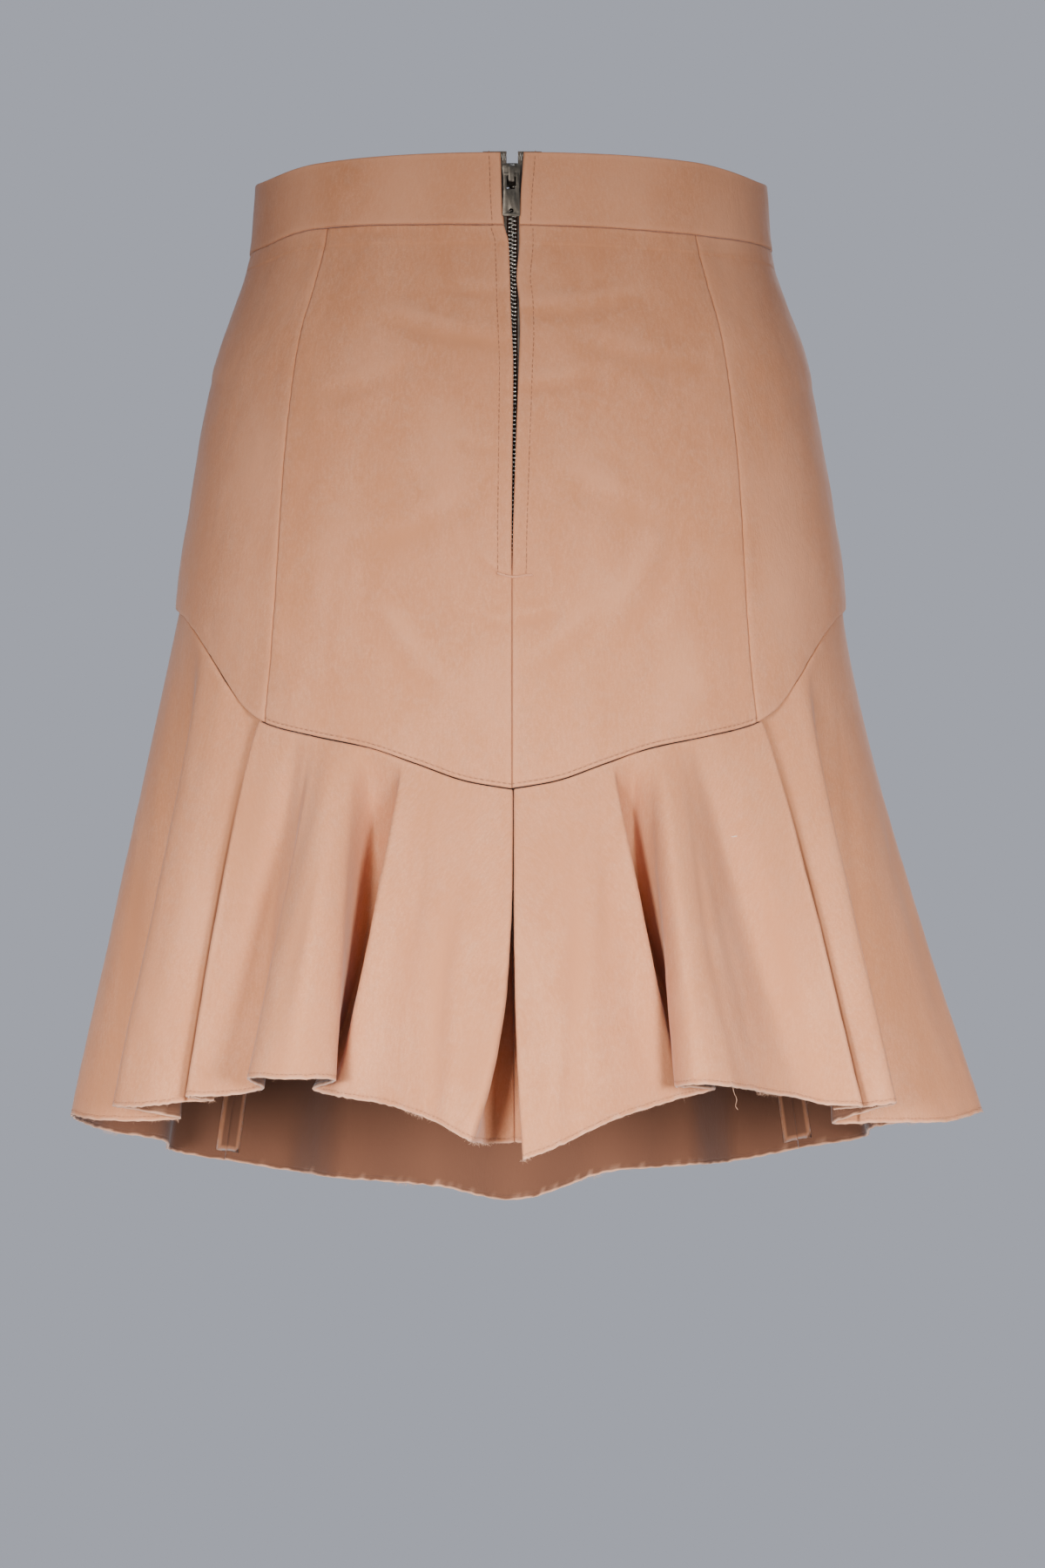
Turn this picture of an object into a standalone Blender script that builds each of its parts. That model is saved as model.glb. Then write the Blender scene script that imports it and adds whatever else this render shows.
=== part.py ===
# A cotton mini skirt in the form it has when worn: a folded waistband, a fitted hip yoke of
# shaped panels and a flared flounce, with a metal zip down the centre back. The flounce has
# an inverted pleat under the zip, a knife pleat under each back seam and soft flutes.
#
# Metres, +Z up. The origin is the centre of the waistband's ring, halfway up the band. The
# centre back faces -Y and the back's right-hand side is +X. An angle round the body starts
# at the centre back and grows through +X, so the front is at 180 degrees.
#
# Lengths in the tables are in centimetres.
import math
from collections import namedtuple

import bmesh
import bpy
import numpy as np

CM = 0.01
MM = 0.001

CLOTH = 1.2 * MM  # one layer of brushed cotton
BAND_CLOTH = 2.0 * MM  # the waistband is folded double
BAND_OUT = (BAND_CLOTH - CLOTH) / 2  # so that the band and the yoke share an inner face
SEAM_GAP = 0.3 * MM
LAYER = 1.7 * MM  # from one folded layer of cloth to the next, centre to centre
WELD = 0.001 * MM
ROUNDNESS = 0.93  # 1 is an ellipse, and less is a little squarer

Finish = namedtuple("Finish", "colour roughness metallic")
COTTON = Finish((0.66, 0.41, 0.29), 0.95, 0)
TAPE_CLOTH = Finish((0.60, 0.42, 0.32), 0.90, 0)
TEETH_METAL = Finish((0.55, 0.53, 0.50), 0.35, 1)
DARK_METAL = Finish((0.21, 0.19, 0.17), 0.38, 1)

# The rings that the band and the yoke lie on. The flounce's pleats start from them too.
Ring = namedtuple("Ring", "height half_width back_depth front_depth")
RINGS = [
    Ring(-31.0, 16.75, 12.60, 11.20),
    Ring(-26.0, 16.75, 12.80, 11.10),
    Ring(-22.0, 16.72, 13.00, 11.10),
    Ring(-18.7, 16.61, 13.05, 11.10),
    Ring(-14.8, 16.07, 12.80, 11.05),
    Ring(-10.9, 15.44, 12.20, 10.85),
    Ring(-7.0, 14.70, 11.25, 10.35),
    Ring(-4.3, 13.74, 10.40, 9.85),
    Ring(-1.7, 12.96, 9.72, 9.40),
    Ring(1.8, 12.69, 9.62, 9.30),
]

# The band's two edges, by the angle round the body.
BandEdge = namedtuple("BandEdge", "angle top bottom")
BAND_EDGES = [
    BandEdge(-180, 1.80, -1.80),
    BandEdge(-90, 1.68, -1.90),
    BandEdge(-70, 1.45, -1.95),
    BandEdge(-46, 1.72, -1.52),
    BandEdge(-8, 1.79, -1.72),
    BandEdge(8, 1.79, -1.78),
    BandEdge(42, 1.72, -1.88),
    BandEdge(70, 1.42, -1.79),
    BandEdge(90, 1.66, -1.70),
    BandEdge(180, 1.80, -1.80),
]

# The pointed seam between the yoke and the flounce, the same on the left and the right.
SeamPoint = namedtuple("SeamPoint", "angle height")
YOKE_SEAM = [
    SeamPoint(0, -28.95),
    SeamPoint(6, -28.60),
    SeamPoint(14, -27.75),
    SeamPoint(22, -26.98),
    SeamPoint(32, -26.40),
    SeamPoint(43, -25.70),
    SeamPoint(48, -25.05),
    SeamPoint(54, -23.65),
    SeamPoint(60, -22.20),
    SeamPoint(67, -20.95),
    SeamPoint(75, -20.15),
    SeamPoint(90, -19.60),
    SeamPoint(106, -20.20),
    SeamPoint(116, -21.30),
    SeamPoint(126, -23.70),
    SeamPoint(134, -25.70),
    SeamPoint(150, -27.20),
    SeamPoint(166, -28.80),
    SeamPoint(180, -30.30),
]

# The seams that run down the yoke, a little less far round the body at the seat.
PRINCESS = [
    SeamPoint(42.0, -1.7),
    SeamPoint(42.3, -9.0),
    SeamPoint(41.9, -14.0),
    SeamPoint(40.8, -18.5),
    SeamPoint(41.6, -22.0),
    SeamPoint(43.3, -25.8),
]
FRONT_PRINCESS = 136.0

# The edges of the zip's opening, as x on its left and its right.
OpeningRow = namedtuple("OpeningRow", "height left right")
OPENING = [
    OpeningRow(-18.7, 0.055, 0.085),
    OpeningRow(-17.5, 0.050, 0.100),
    OpeningRow(-15.0, 0.070, 0.170),
    OpeningRow(-12.0, 0.100, 0.270),
    OpeningRow(-8.9, 0.130, 0.380),
    OpeningRow(-7.0, 0.060, 0.440),
    OpeningRow(-5.6, 0.000, 0.400),
    OpeningRow(-4.4, -0.030, 0.280),
    OpeningRow(-2.6, -0.100, 0.410),
    OpeningRow(-1.7, -0.320, 0.400),
    OpeningRow(1.8, -0.490, 0.620),
]
CENTRE_SEAM_X = 0.07  # below the opening

# The zip. Its depths are measured inwards from the middle of the yoke's cloth.
ZIP_X = 0.07 * CM
CHAIN_WIDTH = 4.8 * MM
CHAIN_THICKNESS = 2.0 * MM
CHAIN_TOP = 0.70 * CM
CHAIN_FOOT = -18.05 * CM
STOP_FOOT = -18.40 * CM
TAPE_WIDTH = 11.5 * MM
TAPE_THICKNESS = 1.0 * MM
TAPE_TOP = 1.86 * CM
TAPE_FOOT = -19.60 * CM
TAPE_DEPTH = CLOTH / 2 + SEAM_GAP + TAPE_THICKNESS / 2
CHAIN_DEPTH = CLOTH / 2 + SEAM_GAP + CHAIN_THICKNESS / 2

SLIDER_X = 0.03 * CM
SLIDER_TOP = 1.25 * CM
SLIDER_FOOT = 0.15 * CM
SLIDER_WIDE = 8.8 * MM
SLIDER_NARROW = 6.4 * MM
SLIDER_PLATE = 1.0 * MM
SLIDER_FACE = -0.4 * MM  # the depth of its outer face
SLIDER_SHOULDERS = (0.35, 0.80)  # its widest stretch, as shares of the way from middle to top
SLIDER_CORNER = 0.7 * MM
SLIDER_POST_WIDTH = 2.4 * MM
SLIDER_POST_FOOT = 0.74 * CM
SLIDER_POST_TOP = 1.14 * CM
CROWN_WIDTH = 2.7 * MM
CROWN_BAR = 1.2 * MM
CROWN_RISE = 4.8 * MM  # from the slider's face to the crown's outside
CROWN_TOP = 1.22 * CM
CROWN_FOOT = 0.13 * CM
CROWN_OUTSIDE = 0.72  # how far up and down its bar runs, as a share of half its height
CROWN_INSIDE = 0.66
CROWN_CORNER = 0.8 * MM

PULL_HINGE_HEIGHT = 0.66 * CM
PULL_THICKNESS = 1.1 * MM
PULL_LENGTH = 21.0 * MM
PULL_WIDTH = 8.4 * MM
PULL_WAIST = 7.6 * MM
PULL_BAR = 1.7 * MM  # the cross-bar under the crown
PULL_WINDOW_WIDTH = 4.4 * MM
PULL_WINDOW_LENGTH = 6.3 * MM
PULL_CORNER = 0.8 * MM
PULL_WINDOW_CORNER = 0.6 * MM
PULL_HOLE_RADIUS = 1.1 * MM
PULL_HOLE_SIDES = 12
PULL_HOLE_UP = 2.6 * MM  # from the pull's foot to the hole's centre

# The flounce's folds, in order round the body. A row gives the angle and the layer at the
# yoke's seam (0 is outermost) and the place of the same line at the hem. A pressed fold turns
# back on itself. bend above 1 keeps a fold straight at first and lets it swing out late, and
# belly is how far inwards (+y) the line swings halfway down.
Fold = namedtuple("Fold", "name angle layer x y z pressed bend belly", defaults=(0.0,))
BACK_RIGHT = [
    Fold("centre seam, in the pleat", 0.0, 2, 0.20, -12.45, -45.62, False, 1.0),
    Fold("inner fold of the pleat", 5.6, 2, 1.80, -12.70, -45.70, True, 1.0),
    Fold("edge of the leaf", 0.52, 1, 0.65, -16.00, -46.30, True, 3.0),
    Fold("leaf", 5.2, 0, 2.50, -15.30, -45.60, False, 1.6),
    Fold("leaf", 9.4, 0, 4.40, -14.30, -44.70, False, 1.0),
    Fold("leaf", 12.4, 0, 6.20, -13.10, -44.10, False, 1.0),
    Fold("leaf's last roll", 14.9, 0, 8.00, -11.90, -43.60, False, 1.0, -0.5),
    Fold("under the roll", 16.4, 0, 8.90, -11.25, -43.40, False, 2.6, 0.8),
    Fold("deep valley", 18.4, 0, 9.70, -11.00, -43.20, False, 2.6, 1.6),
    Fold("flute's inner wall", 20.0, 0, 9.30, -12.10, -43.10, False, 2.0, 0.8),
    Fold("flute's near side", 21.6, 0, 7.75, -13.40, -43.00, False, 1.0, -0.1),
    Fold("flute's front", 23.4, 0, 8.70, -15.00, -42.85, False, 1.0, -0.6),
    Fold("flute's ridge", 25.4, 0, 10.20, -14.30, -42.95, False, 1.0, -0.4),
    Fold("flute's far side", 27.6, 0, 11.90, -12.00, -43.30, False, 1.0),
    Fold("shallow valley", 30.0, 0, 13.60, -10.50, -43.60, False, 1.0, 0.6),
    Fold("knife pleat's face", 37.5, 0, 15.10, -9.90, -43.95, False, 0.95),
    Fold("knife pleat's edge", 44.4, 0, 16.75, -9.60, -44.05, True, 0.87),
    Fold("knife pleat's turned edge", 38.6, 1, 15.50, -8.60, -44.20, False, 0.87),
]
BACK_LEFT = [
    Fold("knife pleat's turned edge", -38.4, 1, -14.25, -9.00, -43.80, False, 0.8),
    Fold("knife pleat's edge", -44.4, 1, -15.45, -10.05, -43.55, True, 0.8),
    Fold("knife pleat's face", -39.4, 0, -14.20, -10.35, -43.55, False, 0.9),
    Fold("shallow valley", -35.6, 0, -12.80, -10.80, -43.40, False, 1.0, 0.5),
    Fold("turn of the S", -33.4, 0, -11.75, -11.60, -43.15, False, 1.0),
    Fold("flute's far side", -31.0, 0, -12.30, -13.60, -42.60, False, 1.0),
    Fold("flute's front", -28.2, 0, -10.30, -15.00, -42.60, False, 1.0, -0.6),
    Fold("flute's near side", -25.2, 0, -8.25, -14.00, -42.65, False, 1.0, -0.2),
    Fold("deep valley", -20.8, 0, -9.40, -10.90, -43.20, False, 3.0, 1.7),
    Fold("under the roll", -17.8, 0, -8.90, -11.35, -43.35, False, 3.0, 0.9),
    Fold("leaf's last roll", -15.8, 0, -8.10, -12.20, -43.50, False, 1.0, -0.5),
    Fold("leaf", -12.8, 0, -6.30, -13.10, -43.75, False, 1.0),
    Fold("leaf", -9.4, 0, -4.70, -14.00, -44.15, False, 1.0),
    Fold("leaf", -5.0, 0, -3.20, -14.85, -44.75, False, 1.4),
    Fold("edge of the leaf", 0.11, 0, -2.00, -15.50, -45.40, True, 3.2),
    Fold("inner fold of the pleat", -5.4, 1, -1.00, -12.40, -45.70, True, 1.0),
    Fold("centre seam, in the pleat", 0.0, 2, 0.20, -12.45, -45.62, False, 1.0),
]
ROUND_THE_FRONT = [
    Fold("seam under the right knife pleat", 38.6, 2.25, 15.66, -8.35, -44.20, False, 0.87),
    Fold("strip behind the pleat", 45.6, 2.25, 16.90, -8.90, -44.10, False, 0.87),
    Fold("strip", 50.5, 1, 17.70, -9.20, -44.00, False, 0.95),
    Fold("strip's roll", 55.0, 0, 18.45, -8.90, -43.90, False, 1.0),
    Fold("turn behind the strip", 60.0, 0, 15.60, -6.50, -44.95, False, 1.0),
    Fold("right flare", 67.0, 0.5, 18.20, -5.40, -44.95, False, 1.1),
    Fold("right flare", 74.0, 1, 21.20, -3.40, -45.00, False, 1.2),
    Fold("right side", 88.0, 1, 23.45, 0.00, -44.60, False, 1.25),
    Fold("right side's far roll", 100.0, 1, 22.20, 3.60, -45.00, False, 1.25),
    Fold("right side's valley", 113.0, 0, 18.60, 6.20, -45.60, False, 1.0),
    Fold("right front flute", 125.0, 0, 18.20, 10.10, -46.30, False, 1.0),
    Fold("right front seam", 136.0, 0, 15.00, 11.20, -46.90, False, 1.0),
    Fold("valley", 145.0, 0, 11.80, 10.70, -47.50, False, 1.0),
    Fold("flute", 155.0, 0, 9.40, 14.00, -47.90, False, 1.0),
    Fold("valley", 166.0, 0, 5.00, 12.50, -48.20, False, 1.0),
    Fold("centre front flute", 178.0, 0, 0.30, 14.80, -49.75, False, 1.0),
    Fold("valley", 192.0, 0, -4.20, 12.70, -48.90, False, 1.0),
    Fold("flute", 204.0, 0, -9.00, 14.30, -48.60, False, 1.0),
    Fold("valley", 215.0, 0, -11.90, 11.10, -48.00, False, 1.0),
    Fold("left front seam", 224.0, 0, -15.00, 11.20, -47.50, False, 1.0),
    Fold("left front flute", 234.0, 0, -17.60, 10.20, -47.00, False, 1.0),
    Fold("left side's valley", 247.0, 0, -17.90, 6.40, -46.30, False, 1.0),
    Fold("left side's far roll", 260.0, 1, -20.90, 3.80, -45.60, False, 1.0),
    Fold("left side", 271.0, 1, -21.85, -0.50, -44.75, False, 1.0),
    Fold("left flare", 283.0, 1, -20.20, -3.60, -44.90, False, 1.0),
    Fold("left flare", 289.0, 0.5, -18.00, -4.60, -44.90, False, 1.0),
    Fold("turn behind the strip", 294.0, 0, -16.10, -5.60, -44.75, False, 1.0),
    Fold("strip's roll", 299.5, 0, -19.20, -7.20, -44.10, False, 1.0),
    Fold("strip", 305.0, 0, -17.90, -8.75, -44.10, False, 0.95),
    Fold("strip", 310.0, 1, -16.60, -9.30, -43.95, False, 0.85),
    Fold("strip behind the pleat", 314.2, 2.25, -15.75, -9.30, -43.85, False, 0.8),
    Fold("seam under the left knife pleat", 321.6, 2.25, -14.40, -8.75, -43.80, False, 0.8),
]
FOLD_TURN_AT_HEM = 0.5 * CM  # how much of each layer bends round a pressed fold
FOLD_STEPS = 4
FLOUNCE_DROP = 0.4 * MM  # how much lower its edge sits, because it leans outwards
FLOUNCE_ROWS = 6
HEM_STEP = 0.8 * CM
YOKE_ROWS = 9

# A yoke panel's columns stand closer where the yoke's seam bends: degrees from the centre back,
# and degrees between columns.
SEAM_BEND_BEHIND = (40, 76)
SEAM_BEND_IN_FRONT = (104, 138)
BEND_STEP = 2.2
SIDE_STEP = 5.0
END_STEP = 3.2
LAST_STEP = 1.5  # the last step may be this much wider than the others
SETTLING_ROUNDS = 12
BAND_STEP = 6.0
BAND_ROWS = 2


# ---- curves through the tables ----


def smooth(xs, ys, at):
    """A monotone cubic through the points, which never overshoots a row of a table."""
    xs, ys = np.asarray(xs, float), np.asarray(ys, float)
    step, slope = np.diff(xs), np.diff(ys) / np.diff(xs)
    tangent = np.concatenate([slope[:1], np.zeros(len(xs) - 2), slope[-1:]])
    for i in range(1, len(xs) - 1):
        if slope[i - 1] * slope[i] > 0:
            before, after = 2 * step[i] + step[i - 1], step[i] + 2 * step[i - 1]
            tangent[i] = (before + after) / (before / slope[i - 1] + after / slope[i])
    at = np.clip(at, xs[0], xs[-1])
    i = np.clip(np.searchsorted(xs, at, side="right") - 1, 0, len(xs) - 2)
    t = (at - xs[i]) / step[i]
    return (
        (1 + 2 * t) * (1 - t) ** 2 * ys[i]
        + t * (1 - t) ** 2 * step[i] * tangent[i]
        + t**2 * (3 - 2 * t) * ys[i + 1]
        + t**2 * (t - 1) * step[i] * tangent[i + 1]
    )


def column(rows, name):
    return [getattr(row, name) for row in rows]


def flowing(knots, points, at):
    """A smooth curve through the points, which may loop back over itself."""
    step = np.diff(knots)[:, None]
    slope = np.diff(points, axis=0) / step
    tangent = np.empty_like(points)
    tangent[0], tangent[-1] = slope[0], slope[-1]
    tangent[1:-1] = (slope[:-1] * step[1:] + slope[1:] * step[:-1]) / (step[1:] + step[:-1])
    i = np.clip(np.searchsorted(knots, at, side="right") - 1, 0, len(knots) - 2)
    t, width = ((at - knots[i]) / step[i, 0])[:, None], step[i]
    return (
        (1 + 2 * t) * (1 - t) ** 2 * points[i]
        + t * (1 - t) ** 2 * width * tangent[i]
        + t**2 * (3 - 2 * t) * points[i + 1]
        + t**2 * (t - 1) * width * tangent[i + 1]
    )


# ---- the body of the skirt ----


def on_body(angle, height, inward=0.0):
    """Points of the yoke's cloth at angles in degrees and heights in metres, moved inwards."""
    angle, height = np.broadcast_arrays(np.asarray(angle, float), height)
    s, c = np.sin(np.radians(angle)), np.cos(np.radians(angle))
    heights = [row.height * CM for row in RINGS]
    half_width, back, front = (
        smooth(heights, column(RINGS, name), height) * CM
        for name in ("half_width", "back_depth", "front_depth")
    )
    depth = np.where(c > 0, back, front)
    x = half_width * np.sign(s) * np.abs(s) ** ROUNDNESS
    y = -depth * np.sign(c) * np.abs(c) ** ROUNDNESS
    out_x, out_y = x / half_width**2, y / depth**2
    length = np.hypot(out_x, out_y)
    return np.stack([x - inward * out_x / length, y - inward * out_y / length, height], -1)


def angle_at(x, height):
    """The angle at which the back of the yoke has this x."""
    half_width = smooth([row.height * CM for row in RINGS], column(RINGS, "half_width"), height) * CM
    ratio = x / half_width
    return np.degrees(np.arcsin(np.sign(ratio) * np.abs(ratio) ** (1 / ROUNDNESS)))


def degrees_along(length, angle, height):
    """The degrees round the body that a length of cloth takes up."""
    one_degree = on_body(angle + 0.5, height) - on_body(angle - 0.5, height)
    return length / np.linalg.norm(one_degree, axis=-1)


def half_gap(angle, height):
    return degrees_along(SEAM_GAP / 2, angle, height)


def signed(angle):
    return (np.asarray(angle, float) + 180) % 360 - 180


def band_edge(angle, side):
    return smooth(column(BAND_EDGES, "angle"), column(BAND_EDGES, side), signed(angle)) * CM


def yoke_seam(angle):
    return smooth(column(YOKE_SEAM, "angle"), column(YOKE_SEAM, "height"), abs(signed(angle))) * CM


def princess(height):
    rows = PRINCESS[::-1]
    return smooth([row.height * CM for row in rows], column(rows, "angle"), height)


def opening_edge(height, side):
    """The angle of the zip opening's left or right edge, and of the centre seam below it."""
    x = smooth([row.height * CM for row in OPENING], column(OPENING, side), height) * CM
    sign = -1 if side == "left" else 1
    seam = CENTRE_SEAM_X * CM + sign * SEAM_GAP / 2
    x = np.where(height < OPENING[0].height * CM, seam, x)
    return angle_at(x, height)


# ---- building walls ----


def place(mesh_or_curve, name, finish, collection):
    """An object with its own material."""
    made = bpy.data.materials.new(name)
    made.use_nodes = True
    shader = made.node_tree.nodes["Principled BSDF"]
    shader.inputs["Base Color"].default_value = (*finish.colour, 1)
    shader.inputs["Roughness"].default_value = finish.roughness
    shader.inputs["Metallic"].default_value = finish.metallic
    mesh_or_curve.materials.append(made)
    obj = bpy.data.objects.new(name, mesh_or_curve)
    collection.objects.link(obj)
    return obj


def wall(name, points, thickness, finish, collection):
    """A wall of cloth through points[across][down], with across running round the body."""
    across, down = points.shape[:2]
    faces = []
    for column_start in range(0, (across - 1) * down, down):
        for here in range(column_start, column_start + down - 1):
            faces.append((here, here + 1, here + down + 1))
            faces.append((here, here + down + 1, here + down))
    mesh = bpy.data.meshes.new(name)
    mesh.from_pydata(points.reshape(-1, 3).tolist(), [], faces)
    mesh.shade_smooth()
    obj = place(mesh, name, finish, collection)
    thick = obj.modifiers.new("cloth", "SOLIDIFY")
    thick.thickness = thickness
    thick.offset = 0
    thick.use_even_offset = True
    thick.use_quality_normals = True
    return obj


def column_step(angle):
    """Degrees between a panel's columns, closer where the yoke's seam bends."""
    angle = abs(angle)
    for low, high in (SEAM_BEND_BEHIND, SEAM_BEND_IN_FRONT):
        if low < angle < high:
            return BEND_STEP
    return SIDE_STEP if SEAM_BEND_BEHIND[1] <= angle <= SEAM_BEND_IN_FRONT[0] else END_STEP


def column_shares(start, end):
    """Where the columns stand between a panel's two edges, from 0 to 1."""
    angles = [start]
    while angles[-1] + column_step(angles[-1]) * LAST_STEP < end:
        angles.append(angles[-1] + column_step(angles[-1]))
    angles.append(end)
    return (np.array(angles) - start) / (end - start)


def settle_edge(shares, start, end, edge_height):
    """The heights at which a panel's columns meet a seam that isn't level."""
    height = np.full(len(shares), edge_height(start(0.0)))
    for _ in range(SETTLING_ROUNDS):
        height = edge_height(start(height) + (end(height) - start(height)) * shares)
    return height


def panel_points(start, end):
    """A yoke panel between two edges, from the band down to the yoke's seam."""
    foot_height = YOKE_SEAM[0].height * CM
    shares = column_shares(float(start(foot_height)), float(end(foot_height)))
    top = settle_edge(shares, start, end, lambda angle: band_edge(angle, "bottom") - SEAM_GAP / 2)
    foot = settle_edge(shares, start, end, lambda angle: yoke_seam(angle) + SEAM_GAP / 2)
    height = top[:, None] + (foot - top)[:, None] * np.linspace(0, 1, YOKE_ROWS + 1)
    angle = start(height) + (end(height) - start(height)) * shares[:, None]
    return on_body(angle, height)


# ---- the flounce ----


def along(start, row):
    """The direction from a place at the hem to a row's place at the hem."""
    way = np.array([row.x, row.y, row.z]) * CM - start
    return way / np.linalg.norm(way)


def open_folds(rows):
    """Each pressed fold as several points, so that the cloth turns round it.

    Its row gives the layer before the turn, and the next row gives the layer after it.
    """
    path = []
    for i, row in enumerate(rows):
        hem = np.array([row.x, row.y, row.z]) * CM
        if not row.pressed:
            path.append((row.angle, row.layer, hem, np.zeros(3), row.bend, row.belly * CM))
            continue
        before, after = rows[i - 1], rows[i + 1]
        radius = degrees_along(LAYER / 2, row.angle, yoke_seam(row.angle))
        inward = radius * np.sign(before.angle - row.angle)
        first, last = along(hem, before) * FOLD_TURN_AT_HEM, along(hem, after) * FOLD_TURN_AT_HEM
        for t in np.linspace(0, 1, FOLD_STEPS + 1):
            turn = math.pi * (t - 0.5)
            angle = row.angle + inward * (1 - math.cos(turn))
            layer = (row.layer + after.layer) / 2 + (after.layer - row.layer) / 2 * math.sin(turn)
            turned = ((1 - t) ** 2 - 0.25) * first + (t**2 - 0.25) * last
            path.append((angle, layer, hem, turned, row.bend, row.belly * CM))
    return path


class Flounce:
    """The cloth between the yoke's seam and the hem, along one list of folds."""

    def __init__(self, rows):
        path = map(np.array, zip(*open_folds(rows)))
        self.angle, self.layer, self.hem, self.turn, self.bend, self.belly = path
        reach = np.linalg.norm(np.diff(self.hem + self.turn, axis=0), axis=1)
        self.knots = np.concatenate([[0], np.cumsum(np.sqrt(reach))])

    def points(self, at, down):
        """Points at knot values along the folds, and from 0 at the seam to 1 at the hem."""
        angle = smooth(self.knots, self.angle, at)
        layer = smooth(self.knots, self.layer, at)
        bend = smooth(self.knots, self.bend, at)
        hem = flowing(self.knots, self.hem, at)
        seam = yoke_seam(angle) - SEAM_GAP / 2 - FLOUNCE_DROP
        top = on_body(angle, seam, layer * LAYER)
        share = np.repeat(down[None, :, None], len(at), 0) * np.ones(3)
        turned = flowing(self.knots, self.turn, at)[:, None] * share
        share[:, :, 0] **= bend[:, None]
        points = top[:, None] + (hem - top)[:, None] * share + turned
        belly = smooth(self.knots, self.belly, at)
        points[:, :, 1] += belly[:, None] * 4 * (down * (1 - down))[None, :]
        return points

    def knot_of(self, angle):
        return self.knots[int(np.argmin(abs(self.angle - angle)))]

    def steps(self, start, end):
        """Knot values about a step apart at the hem."""
        values = [start]
        inside = [k for k in self.knots if start < k < end]
        for low, high in zip([start, *inside], [*inside, end]):
            pieces = math.ceil((high - low) ** 2 / HEM_STEP)
            values.extend(np.linspace(low, high, pieces + 1)[1:])
        return np.array(values)

    def piece(self, start=None, end=None):
        """The points of one sewn piece, half a gap short of the seam at each end."""
        low = self.knots[0] if start is None else self.knot_of(start)
        high = self.knots[-1] if end is None else self.knot_of(end)
        at = self.steps(low, high)
        for edge, inner in ((0, 1), (-1, -2)):
            here, inward = flowing(self.knots, self.hem + self.turn, at[[edge, inner]])
            at[edge] += (at[inner] - at[edge]) * SEAM_GAP / 2 / np.linalg.norm(inward - here)
        return self.points(at, np.linspace(0, 1, FLOUNCE_ROWS + 1))


# ---- the zip ----


def strip_points(left, right, top, foot, depth):
    """A strip on the inside of the back between two x values, flat between the yoke's rows."""
    yoke_top = float(band_edge(0, "bottom")) - SEAM_GAP / 2
    yoke_foot = float(yoke_seam(0)) + SEAM_GAP / 2
    rows = np.append(np.linspace(yoke_foot, yoke_top, YOKE_ROWS + 1), TAPE_TOP)
    height = np.array([top, *rows[(rows < top) & (rows > foot)][::-1], foot])
    sides = []
    for x in (left, right):
        y = np.interp(height, rows, on_body(angle_at(x, rows), rows, depth)[:, 1])
        sides.append(np.stack([np.full_like(y, x), y, height], -1))
    return np.array(sides)


def depth_to_y(depth, height):
    """The y of a depth inwards from the middle of the yoke's cloth at the centre back."""
    return float(on_body(0.0, height, depth)[1])


def rounded(corners, radius, steps=3):
    """A closed outline with each corner cut to an arc."""
    loop = []
    for i, corner in enumerate(corners):
        corner = np.array(corner)
        ends = [np.array(corners[i - 1]), np.array(corners[(i + 1) % len(corners)])]
        first, last = (corner + (end - corner) / np.linalg.norm(end - corner) * radius for end in ends)
        for t in np.linspace(0, 1, steps + 1):
            loop.append((1 - t) ** 2 * first + 2 * t * (1 - t) * corner + t**2 * last)
    return loop


def flat_plate(name, loops, thickness, turn, collection):
    """A plate from closed outlines, drawn upright and turned to face where it should."""
    curve = bpy.data.curves.new(name, "CURVE")
    curve.dimensions = "2D"
    curve.fill_mode = "BOTH"
    curve.extrude = thickness / 2
    for loop in loops:
        spline = curve.splines.new("POLY")
        spline.points.add(len(loop) - 1)
        for point, (across, up) in zip(spline.points, loop):
            point.co = (across, up, 0, 1)
        spline.use_cyclic_u = True
    obj = place(curve, name, DARK_METAL, collection)
    obj.rotation_euler = turn
    return obj


FACING_BACK = (math.pi / 2, 0, 0)  # across is X and up is Z
FACING_SIDE = (math.pi / 2, 0, math.pi / 2)  # across is Y and up is Z


def made_mesh(obj, collection):
    """A curve object made a mesh, with its caps welded to its sides."""
    bpy.context.view_layer.update()
    evaluated = obj.evaluated_get(bpy.context.evaluated_depsgraph_get())
    mesh = bpy.data.meshes.new_from_object(evaluated)
    work = bmesh.new()
    work.from_mesh(mesh)
    bmesh.ops.remove_doubles(work, verts=work.verts, dist=WELD)
    bmesh.ops.recalc_face_normals(work, faces=work.faces)
    work.to_mesh(mesh)
    work.free()
    name, matrix = obj.name, obj.matrix_world.copy()
    bpy.data.objects.remove(obj)
    made = bpy.data.objects.new(name, mesh)
    made.matrix_world = matrix
    collection.objects.link(made)
    return made


def block(name, low, high, collection):
    """A box between two corners."""
    mesh = bpy.data.meshes.new(name)
    work = bmesh.new()
    bmesh.ops.create_cube(work, size=1)
    size, middle = np.subtract(high, low), np.add(high, low) / 2
    for vertex in work.verts:
        vertex.co = [part * length + centre for part, length, centre in zip(vertex.co, size, middle)]
    work.to_mesh(mesh)
    work.free()
    return place(mesh, name, DARK_METAL, collection)


def unite(obj, others):
    for other in others:
        other.hide_render = True
        other.display_type = "WIRE"
        join = obj.modifiers.new("join " + other.name, "BOOLEAN")
        join.operation = "UNION"
        join.object = other


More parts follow.
